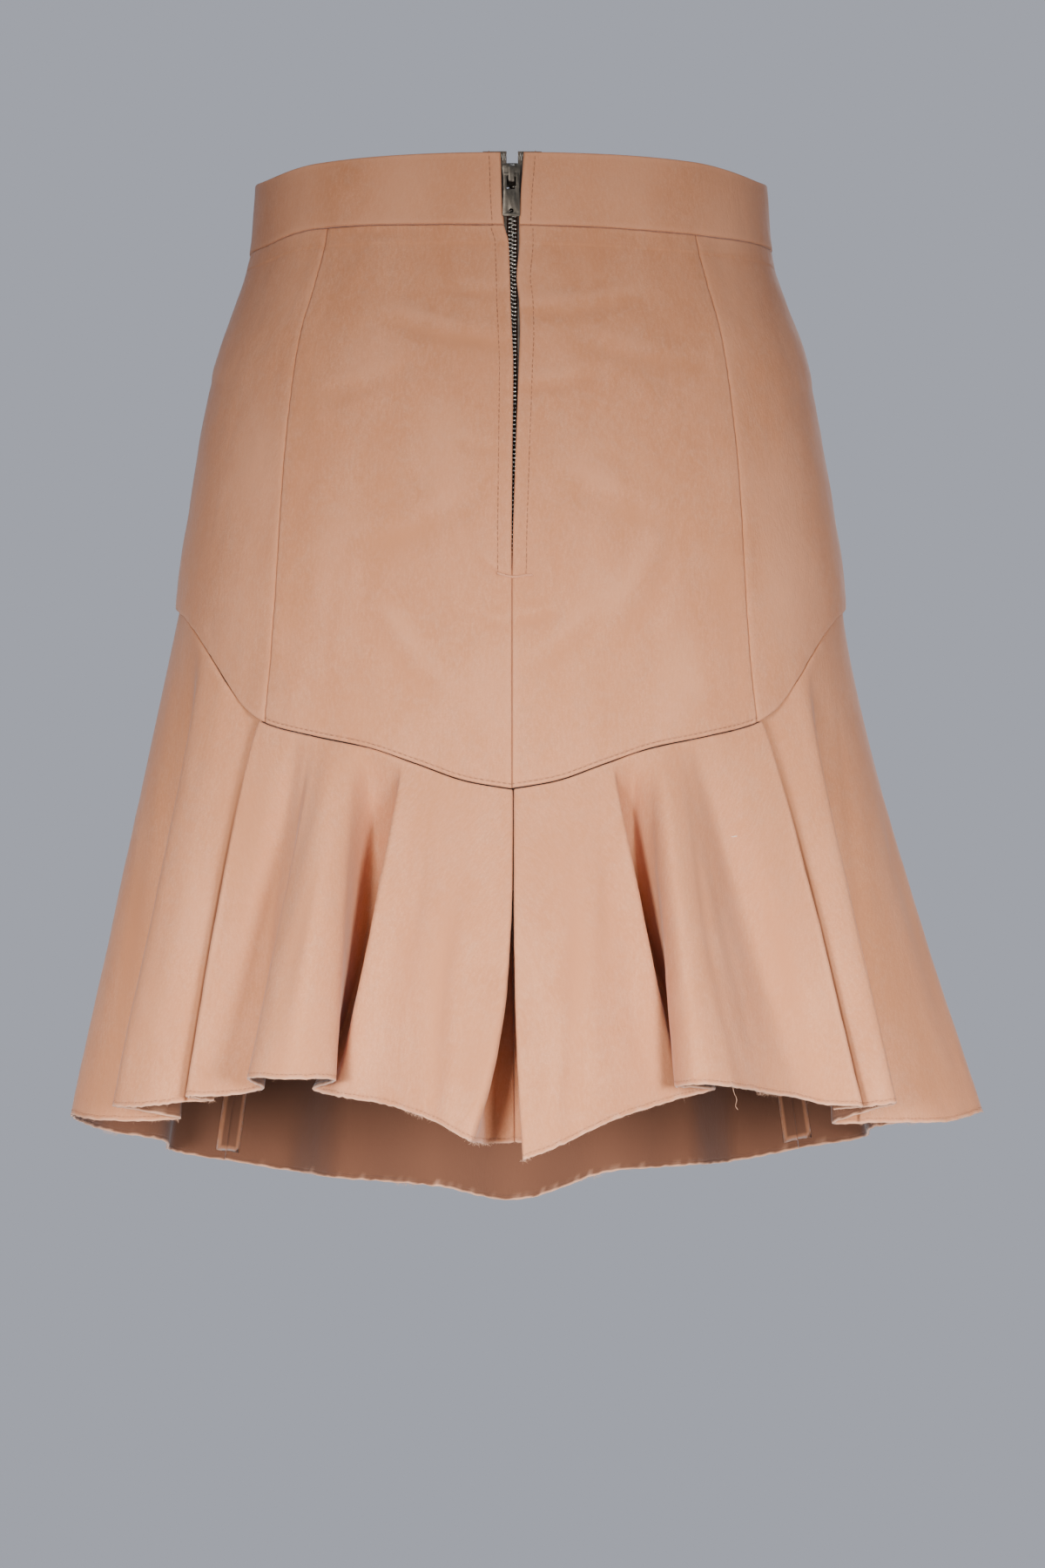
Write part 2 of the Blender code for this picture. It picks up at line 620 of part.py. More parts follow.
def slider_plate(name, depth, collection):
    """One of the slider's two plates, wide at its shoulders."""
    middle = (SLIDER_TOP + SLIDER_FOOT) / 2
    reach = (SLIDER_TOP - SLIDER_FOOT) / 2
    wide, narrow = SLIDER_WIDE / 2, SLIDER_NARROW / 2
    low, high = (share * reach for share in SLIDER_SHOULDERS)
    right_side = [(narrow, -reach), (wide, low), (wide, high), (narrow, reach)]
    left_side = [(-x, z) for x, z in right_side[::-1]]
    outline = rounded(right_side + left_side, SLIDER_CORNER, 2)
    plate = flat_plate(name, [outline], SLIDER_PLATE, FACING_BACK, collection)
    plate.location = (SLIDER_X, depth_to_y(depth, middle), middle)
    return made_mesh(plate, collection)


def crown_outline():
    """The crown's side view: a bridge that stands on the slider's face and rises to -Y."""
    reach = (CROWN_TOP - CROWN_FOOT) / 2
    seat = SLIDER_PLATE / 2
    outside = [(seat, reach), (-CROWN_RISE, CROWN_OUTSIDE * reach)]
    outside += [(-CROWN_RISE, -CROWN_OUTSIDE * reach), (seat, -reach)]
    bridge = rounded(outside, CROWN_CORNER)
    arc = len(bridge) // len(outside)
    hollow = reach - CROWN_BAR
    inside = [(seat, -hollow), (CROWN_BAR - CROWN_RISE, -CROWN_INSIDE * hollow)]
    inside += [(CROWN_BAR - CROWN_RISE, CROWN_INSIDE * hollow), (seat, hollow)]
    return [outside[0], *bridge[arc : 3 * arc], outside[3], *inside]


def build_slider(collection, joined):
    face_depth = SLIDER_FACE + SLIDER_PLATE / 2
    slider = slider_plate("zip_slider", face_depth, collection)
    back_depth = CHAIN_DEPTH + CHAIN_THICKNESS / 2 + SEAM_GAP + SLIDER_PLATE / 2
    plate = slider_plate("slider back plate", back_depth, joined)
    post_half = SLIDER_POST_WIDTH / 2
    post = block(
        "slider post",
        (SLIDER_X - post_half, depth_to_y(face_depth, SLIDER_POST_TOP), SLIDER_POST_FOOT),
        (SLIDER_X + post_half, depth_to_y(back_depth, SLIDER_POST_TOP), SLIDER_POST_TOP),
        joined,
    )
    middle = (CROWN_TOP + CROWN_FOOT) / 2
    crown = flat_plate("slider crown", [crown_outline()], CROWN_WIDTH, FACING_SIDE, joined)
    crown.location = (SLIDER_X, depth_to_y(SLIDER_FACE, middle), middle)
    unite(slider, [plate, post, made_mesh(crown, joined)])


def build_pull(collection):
    """The pull tab, drawn from its hinge, which is the middle of its cross-bar."""
    top = PULL_BAR / 2
    foot = top - PULL_LENGTH
    wide, waist = PULL_WIDTH / 2, PULL_WAIST / 2
    window_foot = -top - PULL_WINDOW_LENGTH
    right_side = [(wide, foot), (waist, window_foot), (waist, top)]
    outer = right_side + [(-x, z) for x, z in right_side[::-1]]
    half = PULL_WINDOW_WIDTH / 2
    window = [(-half, window_foot), (half, window_foot), (half, -top), (-half, -top)]
    turns = np.linspace(0, 2 * math.pi, PULL_HOLE_SIDES, endpoint=False)
    hole = [(math.cos(t) * PULL_HOLE_RADIUS, math.sin(t) * PULL_HOLE_RADIUS) for t in turns]
    hole = [(x, z + foot + PULL_HOLE_UP) for x, z in hole]
    loops = [rounded(outer, PULL_CORNER), rounded(window, PULL_WINDOW_CORNER, 2), hole]
    pull = flat_plate("zip_pull", loops, PULL_THICKNESS, FACING_BACK, collection)
    depth = -(BAND_OUT + BAND_CLOTH / 2) - SEAM_GAP - PULL_THICKNESS / 2
    pull.location = (SLIDER_X, depth_to_y(depth, PULL_HINGE_HEIGHT + foot), PULL_HINGE_HEIGHT)
    return pull


def build_zip(collection, joined):
    inner = CHAIN_WIDTH / 2 + SEAM_GAP
    outer = inner + TAPE_WIDTH
    for side, (left, right) in {"left": (-outer, -inner), "right": (inner, outer)}.items():
        points = strip_points(ZIP_X + left, ZIP_X + right, TAPE_TOP, TAPE_FOOT, TAPE_DEPTH)
        wall("zip_tape_" + side, points, TAPE_THICKNESS, TAPE_CLOTH, collection)
    half = CHAIN_WIDTH / 2
    chain = strip_points(ZIP_X - half, ZIP_X + half, CHAIN_TOP, CHAIN_FOOT, CHAIN_DEPTH)
    wall("zip_chain", chain, CHAIN_THICKNESS, TEETH_METAL, collection)
    stop = strip_points(ZIP_X - half, ZIP_X + half, CHAIN_FOOT - SEAM_GAP, STOP_FOOT, CHAIN_DEPTH)
    wall("zip_stop", stop, CHAIN_THICKNESS, TEETH_METAL, collection)
    build_slider(collection, joined)
    build_pull(collection)


# ---- the whole skirt ----


def band_points():
    """The band, from the zip's right edge round the body to its left edge."""
    shares = np.linspace(0, 1, round(360 / BAND_STEP) + 1)
    start = lambda height: opening_edge(height, "right")
    end = lambda height: 360 + opening_edge(height, "left")
    foot = settle_edge(shares, start, end, lambda angle: band_edge(angle, "bottom") + SEAM_GAP / 2)
    top = settle_edge(shares, start, end, lambda angle: band_edge(angle, "top"))
    height = top[:, None] + (foot - top)[:, None] * np.linspace(0, 1, BAND_ROWS + 1)
    angle = start(height) + (end(height) - start(height)) * shares[:, None]
    return on_body(angle, height, -BAND_OUT)


def build_yoke(collection):
    right_seam = lambda side: lambda height: princess(height) + side * half_gap(princess(height), height)
    front_seam = lambda side: lambda height: FRONT_PRINCESS + side * half_gap(FRONT_PRINCESS, height)
    mirror = lambda edge: lambda height: -edge(height)
    round_front = lambda edge: lambda height: 360 - edge(height)
    edges = {
        "back_panel_right": (lambda height: opening_edge(height, "right"), right_seam(-1)),
        "side_panel_right": (right_seam(1), front_seam(-1)),
        "front_panel": (front_seam(1), round_front(front_seam(1))),
        "side_panel_left": (mirror(front_seam(-1)), mirror(right_seam(1))),
        "back_panel_left": (mirror(right_seam(-1)), lambda height: opening_edge(height, "left")),
    }
    for name, (start, end) in edges.items():
        wall(name, panel_points(start, end), CLOTH, COTTON, collection)


def build_flounce(collection):
    front = Flounce(ROUND_THE_FRONT)
    pieces = {
        "flounce_back_right": Flounce(BACK_RIGHT).piece(),
        "flounce_back_left": Flounce(BACK_LEFT).piece(),
        "flounce_side_right": front.piece(end=FRONT_PRINCESS),
        "flounce_front": front.piece(FRONT_PRINCESS, 360 - FRONT_PRINCESS),
        "flounce_side_left": front.piece(start=360 - FRONT_PRINCESS),
    }
    for name, points in pieces.items():
        wall(name, points, CLOTH, COTTON, collection)


def main():
    for obj in list(bpy.data.objects):
        bpy.data.objects.remove(obj)
    skirt = bpy.data.collections.new("mini skirt")
    joined = bpy.data.collections.new("joined into the slider")
    for collection in (skirt, joined):
        bpy.context.scene.collection.children.link(collection)

    wall("waistband", band_points(), BAND_CLOTH, COTTON, skirt)
    build_yoke(skirt)
    build_flounce(skirt)
    build_zip(skirt, joined)


main()
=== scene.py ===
# A brushed-cotton mini skirt in the form it has when worn: waistband, fitted hip yoke, flared
# flounce and a metal zip down the centre back.
import math

import bmesh
import bpy
import numpy as np
from mathutils import Matrix, Vector


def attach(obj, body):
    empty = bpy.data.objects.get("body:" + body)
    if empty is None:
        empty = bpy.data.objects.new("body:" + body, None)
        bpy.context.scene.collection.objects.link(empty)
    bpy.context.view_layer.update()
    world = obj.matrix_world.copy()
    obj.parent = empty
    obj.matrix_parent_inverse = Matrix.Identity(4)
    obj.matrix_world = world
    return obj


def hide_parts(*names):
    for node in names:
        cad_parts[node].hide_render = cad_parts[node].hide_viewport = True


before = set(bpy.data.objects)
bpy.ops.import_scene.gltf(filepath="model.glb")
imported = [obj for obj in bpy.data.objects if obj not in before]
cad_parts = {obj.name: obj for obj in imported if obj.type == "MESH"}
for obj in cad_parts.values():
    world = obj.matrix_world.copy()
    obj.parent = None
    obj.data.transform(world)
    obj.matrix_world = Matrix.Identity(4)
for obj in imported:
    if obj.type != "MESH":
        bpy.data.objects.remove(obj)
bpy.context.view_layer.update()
print("frame loaded,", len(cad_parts), "solids")

cm, mm = 0.01, 0.001


# Curves through the tables, the same ones that the solids follow.
def hermite(t, width, ends, tangents):
    return ((1 + 2 * t) * (1 - t) ** 2 * ends[0] + t * (1 - t) ** 2 * width * tangents[0]
            + t**2 * (3 - 2 * t) * ends[1] + t**2 * (t - 1) * width * tangents[1])


def stretchOf(knots, at):
    return np.clip(np.searchsorted(knots, at, side="right") - 1, 0, len(knots) - 2)


def smooth(xs, ys, at):
    xs, ys = np.asarray(xs, float), np.asarray(ys, float)
    step, slope = np.diff(xs), np.diff(ys) / np.diff(xs)
    tangent = np.concatenate([slope[:1], np.zeros(len(xs) - 2), slope[-1:]])
    for i in range(1, len(xs) - 1):
        if slope[i - 1] * slope[i] > 0:
            before, after = 2 * step[i] + step[i - 1], step[i] + 2 * step[i - 1]
            tangent[i] = (before + after) / (before / slope[i - 1] + after / slope[i])
    at = np.clip(at, xs[0], xs[-1])
    i = stretchOf(xs, at)
    return hermite((at - xs[i]) / step[i], step[i], (ys[i], ys[i + 1]),
                   (tangent[i], tangent[i + 1]))


def flowing(knots, points, at):
    step = np.diff(knots)[:, None]
    slope = np.diff(points, axis=0) / step
    tangent = np.empty_like(points)
    tangent[0], tangent[-1] = slope[0], slope[-1]
    tangent[1:-1] = (slope[:-1] * step[1:] + slope[1:] * step[:-1]) / (step[1:] + step[:-1])
    i = stretchOf(knots, at)
    return hermite(((at - knots[i]) / step[i, 0])[:, None], step[i],
                   (points[i], points[i + 1]), (tangent[i], tangent[i + 1]))


def ease(low, high, value):
    t = np.clip((value - low) / (high - low), 0, 1)
    return t * t * (3 - 2 * t)


def hump(distance, width):
    return np.exp(-(distance / width) ** 2)


# Soft uneven waves between about -1 and 1, size being their length.
def softWaves(x, y, size, seed, count=7):
    draw = np.random.default_rng(seed)
    total = np.zeros(np.broadcast(x, y).shape)
    for _ in range(count):
        turn, phase = draw.uniform(0, 2 * math.pi, 2)
        pace = 2 * math.pi / size * draw.uniform(0.6, 1.5)
        total += np.sin(pace * (x * math.cos(turn) + y * math.sin(turn)) + phase)
    return total / (count / 2)


# Puckers along a sewn edge, their spacing uneven over patches of cloth.
def puckers(along, across, length, patch, seed, uneven=2.5):
    return np.sin(along * 2 * math.pi / length + uneven * softWaves(along, across, patch, seed))


# A ridge or groove that runs beside an edge.
def beside(distance, away, height, width):
    return height * hump(distance - away, width)


# The body that the band and yoke lie on. Lengths in the tables are in centimetres.
bodyRings = np.array([
    # height, half width, back depth, front depth
    (-31.0, 16.75, 12.60, 11.20), (-26.0, 16.75, 12.80, 11.10), (-22.0, 16.72, 13.00, 11.10),
    (-18.7, 16.61, 13.05, 11.10), (-14.8, 16.07, 12.80, 11.05), (-10.9, 15.44, 12.20, 10.85),
    (-7.0, 14.70, 11.25, 10.35), (-4.3, 13.74, 10.40, 9.85), (-1.7, 12.96, 9.72, 9.40),
    (1.8, 12.69, 9.62, 9.30),
])
bandEdges = np.array([
    # angle, top, bottom
    (-180, 1.80, -1.80), (-90, 1.68, -1.90), (-70, 1.45, -1.95), (-46, 1.72, -1.52),
    (-8, 1.79, -1.72), (8, 1.79, -1.78), (42, 1.72, -1.88), (70, 1.42, -1.79),
    (90, 1.66, -1.70), (180, 1.80, -1.80),
])
yokeSeamPoints = np.array([
    # angle either way from the centre back, height
    (0, -28.95), (6, -28.60), (14, -27.75), (22, -26.98), (32, -26.40), (43, -25.70),
    (48, -25.05), (54, -23.65), (60, -22.20), (67, -20.95), (75, -20.15), (90, -19.60),
    (106, -20.20), (116, -21.30), (126, -23.70), (134, -25.70), (150, -27.20),
    (166, -28.80), (180, -30.30),
])
princessPoints = np.array([
    # height, angle of the seam that runs down the yoke
    (-25.8, 43.3), (-22.0, 41.6), (-18.5, 40.8), (-14.0, 41.9), (-9.0, 42.3), (-1.7, 42.0),
])
openingEdges = np.array([
    # height, x of the zip opening's left edge, x of its right edge
    (-18.7, 0.055, 0.085), (-17.5, 0.050, 0.100), (-15.0, 0.070, 0.170), (-12.0, 0.100, 0.270),
    (-8.9, 0.130, 0.380), (-7.0, 0.060, 0.440), (-5.6, 0.000, 0.400), (-4.4, -0.030, 0.280),
    (-2.6, -0.100, 0.410), (-1.7, -0.320, 0.400), (1.8, -0.490, 0.620),
])
skirtForm = {
    "cloth": 1.2 * mm,
    "bandCloth": 2.0 * mm,
    "seamGap": 0.12 * mm,  # closer than the solids, because the sewn edges press together
    "zipGap": 0.3 * mm,
    "layer": 1.7 * mm,  # from one folded layer of cloth to the next
    "roundness": 0.93,
    "frontPrincess": 136.0,
    "centreSeamX": 0.07 * cm,
    "step": {"band": 2.4 * mm, "back": 1.3 * mm, "side": 2.2 * mm, "front": 2.4 * mm},
    "edgeRows": np.array([0, 0.06, 0.2, 0.45, 0.8, 1.3]) * mm,  # closer points beside an edge
}
clothHalf = skirtForm["cloth"] / 2
seamGap, zipGap = skirtForm["seamGap"], skirtForm["zipGap"]


# A point on the body at an angle from the centre back (degrees) and a height, or inside it.
def onBody(angle, height, inward=0.0):
    angle, height = np.broadcast_arrays(np.asarray(angle, float), height)
    s, c = np.sin(np.radians(angle)), np.cos(np.radians(angle))
    halfWidth, back, front = (smooth(bodyRings[:, 0] * cm, bodyRings[:, i], height) * cm
                              for i in (1, 2, 3))
    depth = np.where(c > 0, back, front)
    power = skirtForm["roundness"]
    x = halfWidth * np.sign(s) * np.abs(s) ** power
    y = -depth * np.sign(c) * np.abs(c) ** power
    outX, outY = x / halfWidth**2, y / depth**2
    length = np.hypot(outX, outY)
    return np.stack([x - inward * outX / length, y - inward * outY / length, height], -1)


def angleAt(x, height):
    ratio = x / (smooth(bodyRings[:, 0] * cm, bodyRings[:, 1], height) * cm)
    return np.degrees(np.arcsin(np.sign(ratio) * np.abs(ratio) ** (1 / skirtForm["roundness"])))


def degreesAlong(length, angle, height):
    oneDegree = onBody(angle + 0.5, height) - onBody(angle - 0.5, height)
    return length / np.linalg.norm(oneDegree, axis=-1)


def signedAngle(angle):
    return (np.asarray(angle, float) + 180) % 360 - 180


def bandEdge(angle, side):
    return smooth(bandEdges[:, 0], bandEdges[:, side], signedAngle(angle)) * cm


def yokeSeam(angle):
    return smooth(yokeSeamPoints[:, 0], yokeSeamPoints[:, 1], abs(signedAngle(angle))) * cm


def princessSeam(height):
    return smooth(princessPoints[:, 0] * cm, princessPoints[:, 1], height)


def openingEdge(height, side):
    x = smooth(openingEdges[:, 0] * cm, openingEdges[:, side], height) * cm
    seam = skirtForm["centreSeamX"] + (-1 if side == 1 else 1) * seamGap / 2
    return angleAt(np.where(height < openingEdges[0, 0] * cm, seam, x), height)


# Shares of a length at even steps, closer together beside its two ends.
def edgedShares(length, step):
    near = skirtForm["edgeRows"] / length
    count = max(3, round(length / step))
    middle = np.linspace(near[-1], 1 - near[-1], count + 1)[1:-1]
    return np.concatenate([near, middle, 1 - near[::-1]])


# A piece's top or foot edge, whose height depends on the angle and the angle on the height.
def settleEdge(shares, start, end, edgeHeight, rounds=12):
    height = np.full(len(shares), edgeHeight(start(0.0)))
    for _ in range(rounds):
        height = edgeHeight(start(height) + (end(height) - start(height)) * shares)
    return height


def gridBetween(start, end, topEdge, footEdge, size, step, out=0.0):
    shares, rows = (edgedShares(length, step) for length in size)
    top = settleEdge(shares, start, end, topEdge)
    foot = settleEdge(shares, start, end, footEdge)
    height = top[:, None] + (foot - top)[:, None] * rows
    angle = start(height) + (end(height) - start(height)) * shares[:, None]
    return onBody(angle, height, -out)


# Cloth as a closed shell with rounded edges round a grid of middle points. Each edge has a
# radius, and how far and over what width it sinks towards its seam.
edgeKinds = {
    "seam": (0.45 * mm, 0.36 * mm, 1.8 * mm),
    "fold": (0.85 * mm, 0.0, 1 * mm),
    "raw": (0.30 * mm, 0.0, 1 * mm),
    "selvedge": (0.30 * mm, 0.0, 1 * mm),
}


class Shell:
    def __init__(self, points, half, edges):
        self.points, self.half = points, half
        gapsAcross = np.linalg.norm(np.diff(points, axis=0), axis=2)
        gapsDown = np.linalg.norm(np.diff(points, axis=1), axis=2)
        self.fromStart = np.pad(np.cumsum(gapsAcross, 0), ((1, 0), (0, 0)))
        self.fromEnd = self.fromStart[-1:] - self.fromStart
        self.fromTop = np.pad(np.cumsum(gapsDown, 1), ((0, 0), (1, 0)))
        self.fromFoot = self.fromTop[:, -1:] - self.fromTop
        out = np.cross(np.gradient(points, axis=1), np.gradient(points, axis=0))
        self.out = out / np.linalg.norm(out, axis=2, keepdims=True)
        self.thick = np.ones(points.shape[:2])
        self.sink = np.zeros(points.shape[:2])
        sides = (self.fromStart, self.fromEnd, self.fromTop, self.fromFoot)
        for kind, distance in zip(edges, sides):
            radius, depth, width = edgeKinds[kind]
            self.thick *= np.sqrt(np.maximum(0, 1 - (1 - np.minimum(distance / radius, 1)) ** 2))
            self.sink += depth * (1 - np.minimum(distance / width, 1)) ** 2
        self.relief = np.zeros(points.shape[:2])
        self.paintedShading = np.zeros(points.shape[:2])  # painted shade (below 0) and painted highlight (above 0) along creases and lines

    # Soft waves: rows of height, stretch up and down, length and seed.
    def addWaves(self, rows, along, share=1.0):
        for height, stretch, length, seed in rows:
            waves = softWaves(along, self.points[..., 2] * stretch, length, seed)
            self.relief += height * share * waves

    def outerPoints(self, lift=0.0):
        rise = self.half * self.thick - self.sink + self.relief + lift
        return self.points + self.out * rise[..., None]

    def innerPoints(self):
        drop = self.half * self.thick + self.sink - self.relief
        return self.points - self.out * drop[..., None]

    # Points on the outer face at a distance from one of its edges.
    def lineFrom(self, edge, distance, lift=0.0):
        away = {"start": self.fromStart, "end": self.fromEnd, "foot": self.fromFoot}[edge]
        outer = self.outerPoints(lift)
        if edge in ("start", "end"):
            away, outer = away.T, outer.transpose(1, 0, 2)
        if edge in ("end", "foot"):
            away, outer = away[:, ::-1], outer[:, ::-1]
        return np.array([[np.interp(distance, row, place[:, k]) for k in range(3)]
                         for row, place in zip(away, outer)])


def addObject(name, data):
    made = bpy.data.objects.new(name, data)
    bpy.context.scene.collection.objects.link(made)
    return made


def meshObject(name, places, faces, material):
    mesh = bpy.data.meshes.new(name)
    mesh.from_pydata(places, [], faces)
    mesh.materials.append(material)
    return addObject(name, mesh)


# The shell as a mesh: its outer face's points, then those of its inner face within the edges.
def shellPiece(name, shell, material, marks=()):
    across, down = shell.points.shape[:2]
    count = across * down
    number = np.arange(count).reshape(across, down)
    inner = number.copy()
    within = inner[1:-1, 1:-1]
    within[:] = count + np.arange(within.size).reshape(within.shape)

    def bothFaces(outer, inside=None):
        inside = outer if inside is None else inside
        return np.concatenate([values.reshape(-1, *values.shape[2:])
                               for values in (outer, inside[1:-1, 1:-1])])

    places = bothFaces(shell.outerPoints(), shell.innerPoints())
    quads = np.concatenate([np.stack(corners, -1).reshape(-1, 4) for corners in (
        (number[:-1, :-1], number[:-1, 1:], number[1:, 1:], number[1:, :-1]),
        (inner[:-1, :-1], inner[1:, :-1], inner[1:, 1:], inner[:-1, 1:]))])
    piece = meshObject(name, places.tolist(), quads.tolist(), material)
    zero = np.zeros((across, down))
    values = {"inside": bothFaces(zero, zero + 1)}
    values.update((key, bothFaces(mark)) for key, mark in dict(marks).items())
    for key, value in values.items():
        attribute = piece.data.attributes.new(key, "FLOAT", "POINT")
        attribute.data.foreach_set("value", value.astype(np.float32))
    flat = np.stack([shell.fromStart - shell.fromStart[-1:] / 2, -shell.fromTop], -1)
    uv = bothFaces(flat)[quads.reshape(-1)].astype(np.float32)
    piece.data.uv_layers.new(name="clothFlat").data.foreach_set("uv", uv.reshape(-1))
    piece.data.shade_smooth()
    return piece


# Materials
class NodeMaker:
    def __init__(self, tree):
        self.tree = tree

    def feed(self, node, inputs):
        for key, value in dict(inputs).items():
            if isinstance(value, bpy.types.NodeSocket):
                self.tree.links.new(value, node.inputs[key])
            else:
                node.inputs[key].default_value = value

    def node(self, kind, settings=(), inputs=()):
        made = self.tree.nodes.new(kind)
        for key, value in dict(settings).items():
            setattr(made, key, value)
        self.feed(made, inputs)
        return made

    def shade(self, inputs):
        self.feed(self.tree.nodes["Principled BSDF"], inputs)

    def place(self):
        return self.node("ShaderNodeTexCoord").outputs["Object"]

    def flat(self):
        return self.node("ShaderNodeUVMap", {"uv_map": "clothFlat"}).outputs["UV"]

    def stretched(self, where, scale):
        return self.node("ShaderNodeMapping", inputs={
            "Vector": where, "Scale": scale}).outputs["Vector"]

    def noise(self, where, scale, detail=2.0, roughness=0.5, distortion=0.0):
        return self.node("ShaderNodeTexNoise", inputs={
            "Vector": where, "Scale": scale, "Detail": detail, "Roughness": roughness,
            "Distortion": distortion}).outputs["Fac"]

    def wave(self, where, direction, scale, distortion, detail, detailScale=1.0):
        return self.node("ShaderNodeTexWave", {"bands_direction": direction}, {
            "Vector": where, "Scale": scale, "Distortion": distortion, "Detail": detail,
            "Detail Scale": detailScale}).outputs["Fac"]

    def spread(self, value, low, high, outLow=0.0, outHigh=1.0, how="LINEAR"):
        return self.node("ShaderNodeMapRange", {"interpolation_type": how}, {
            "Value": value, "From Min": low, "From Max": high, "To Min": outLow,
            "To Max": outHigh}).outputs["Result"]

    def softStep(self, value, places, heights):
        return self.spread(value, *places, *heights, "SMOOTHSTEP")

    def mix(self, share, first, second):
        colours = [value if isinstance(value, bpy.types.NodeSocket) else (*value, 1)
                   for value in (first, second)]
        return self.node("ShaderNodeMix", {"data_type": "RGBA"}, {
            0: share, 6: colours[0], 7: colours[1]}).outputs[2]

    def maths(self, how, first, second):
        return self.node("ShaderNodeMath", {"operation": how}, {0: first, 1: second}).outputs[0]

    def attribute(self, name):
        return self.node("ShaderNodeAttribute", {"attribute_name": name}).outputs["Fac"]

    def away(self, name):
        return self.maths("ABSOLUTE", self.attribute(name), 0)

    def bump(self, height, strength, distance, after=None):
        under = {} if after is None else {"Normal": after}
        return self.node("ShaderNodeBump", inputs={
            "Height": height, "Strength": strength, "Distance": distance,
            **under}).outputs["Normal"]


def newMaterial(name):
    material = bpy.data.materials.new(name)
    material.use_nodes = True
    return material, NodeMaker(material.node_tree)


cottonLook = {
    "colour": (0.488, 0.206, 0.107),
    "deepNap": (0.428, 0.178, 0.092),  # where the nap lies away
    "paleNap": (0.520, 0.240, 0.140),  # where the nap is rubbed up
    "greyNap": (0.450, 0.240, 0.158),
    "darkGrain": (0.370, 0.152, 0.078),
    "paintedFoldShadow": (0.130, 0.046, 0.024),  # painted shadow close beside a pressed fold's edge
    "shadedReverse": (0.100, 0.043, 0.027),  # the plain inner face, darkened further as painted shade
    "rawEdge": (0.530, 0.300, 0.212),
    "shader": {"Roughness": 0.93, "Specular IOR Level": 0.15, "Sheen Weight": 0.28,
               "Sheen Roughness": 0.42, "Sheen Tint": (0.66, 0.74, 0.86, 1)},
    "alongStretch": (1.0, 1.0, 0.45),  # patches are longer up and down
    "warpStretch": (1.0, 0.38, 1.0),
    "noises": {
        # coordinates, scale, detail, roughness, distortion
        "broad": ("along", 13, 3, 0.55, 0.4),  # hand-wide patches of nap
        "patches": ("along", 44, 5, 0.62, 1.2),
        "dents": ("along", 62, 4, 0.6, 0.6),
        "smudges": ("place", 135, 3, 0.6, 0.8),
        "threads": ("warp", 680, 2, 0.7, 0.0),
        "grain": ("place", 1150, 2, 0.7, 0.0),
    },
    "ribs": ("DIAGONAL", 620, 1.4, 1, 3),
    "layers": [
        # noise, two of its values, the share laid on at each, colour
        ("broad", 0.42, 0.60, 0, 1, "colour"), ("patches", 0.42, 0.66, 0, 0.85, "paleNap"),
        ("smudges", 0.46, 0.68, 0, 0.55, "greyNap"), ("threads", 0.34, 0.62, 0.55, 0, "deepNap"),
        ("threads", 0.44, 0.70, 0, 0.55, "paleNap"), ("grain", 0.38, 0.66, 0.38, 0, "darkGrain"),
        # The tone attribute holds nap patches, seam lines, painted shade and painted highlights.
        ("tone", 0, 1, 0, 1, "paleNap"), ("tone", 0, -1, 0, 1, "deepNap"),
    ],
    "bumps": [
        # noise, strength, height
        ("dents", 0.5, 1.1 * mm), ("threads", 0.6, 0.22 * mm), ("grain", 0.5, 0.12 * mm),
        ("ribs", 0.10, 0.05 * mm),
    ],
    # Lines drawn at a distance from an edge: two distances (mm) and the value at each.
    # The first is a painted shadow line beside a pleat's folded edge.
    "foldShadowLine": ((0.1, 1.4), (1.0, 0.0)),
    "allowanceEnd": ((8.4, 10.2), (0.34, 0.0)),  # of the band's allowance, behind the cloth
    "stitchGroove": ((0.0, 0.9), (-0.30, 0.0)),
}


def cottonColour(make, heights):
    look = cottonLook
    heights = {**heights, "tone": make.attribute("tone")}
    colour = look["deepNap"]
    for height, low, high, lowShare, highShare, laidOn in look["layers"]:
        share = make.spread(heights[height], low, high, lowShare, highShare)
        colour = make.mix(share, colour, look[laidOn])
    # A painted shadow, dark brown, along the cloth beside each pleat's folded edge.
    fold = make.softStep(make.away("foldAway"), *look["foldShadowLine"])
    fold = make.maths("MULTIPLY", fold, make.attribute("paintedFoldShadow"))
    colour = make.mix(fold, colour, look["paintedFoldShadow"])
    # The inner face takes a darker colour, partly its own and partly painted shade.
    colour = make.mix(make.attribute("inside"), colour, look["shadedReverse"])
    return make.mix(make.attribute("rawEdge"), colour, look["rawEdge"])


def cottonRelief(make, heights):
    look, normal = cottonLook, None
    for height, strength, distance in look["bumps"]:
        normal = make.bump(heights[height], strength, distance, normal)
    ridge = make.softStep(make.attribute("bandAway"), *look["allowanceEnd"])
    groove = make.softStep(make.away("stitchAway"), *look["stitchGroove"])
    return make.bump(make.maths("ADD", ridge, groove), 1.0, 1.0 * mm, normal)


def brushedCotton():
    look = cottonLook
    material, make = newMaterial("brushed cotton")
    place, flat = make.place(), make.flat()
    spaces = {"place": place, "along": make.stretched(place, look["alongStretch"]),
              "warp": make.stretched(flat, look["warpStretch"])}
    heights = {name: make.noise(spaces[space], *numbers)
               for name, (space, *numbers) in look["noises"].items()}
    heights["ribs"] = make.wave(flat, *look["ribs"])
    make.shade({**look["shader"], "Base Color": cottonColour(make, heights),
                "Normal": cottonRelief(make, heights)})
    return material


threadLook = {
    "twist": 2200,
    "darker": 0.72,
    "shader": {"Roughness": 0.7, "Sheen Weight": 0.06},
}


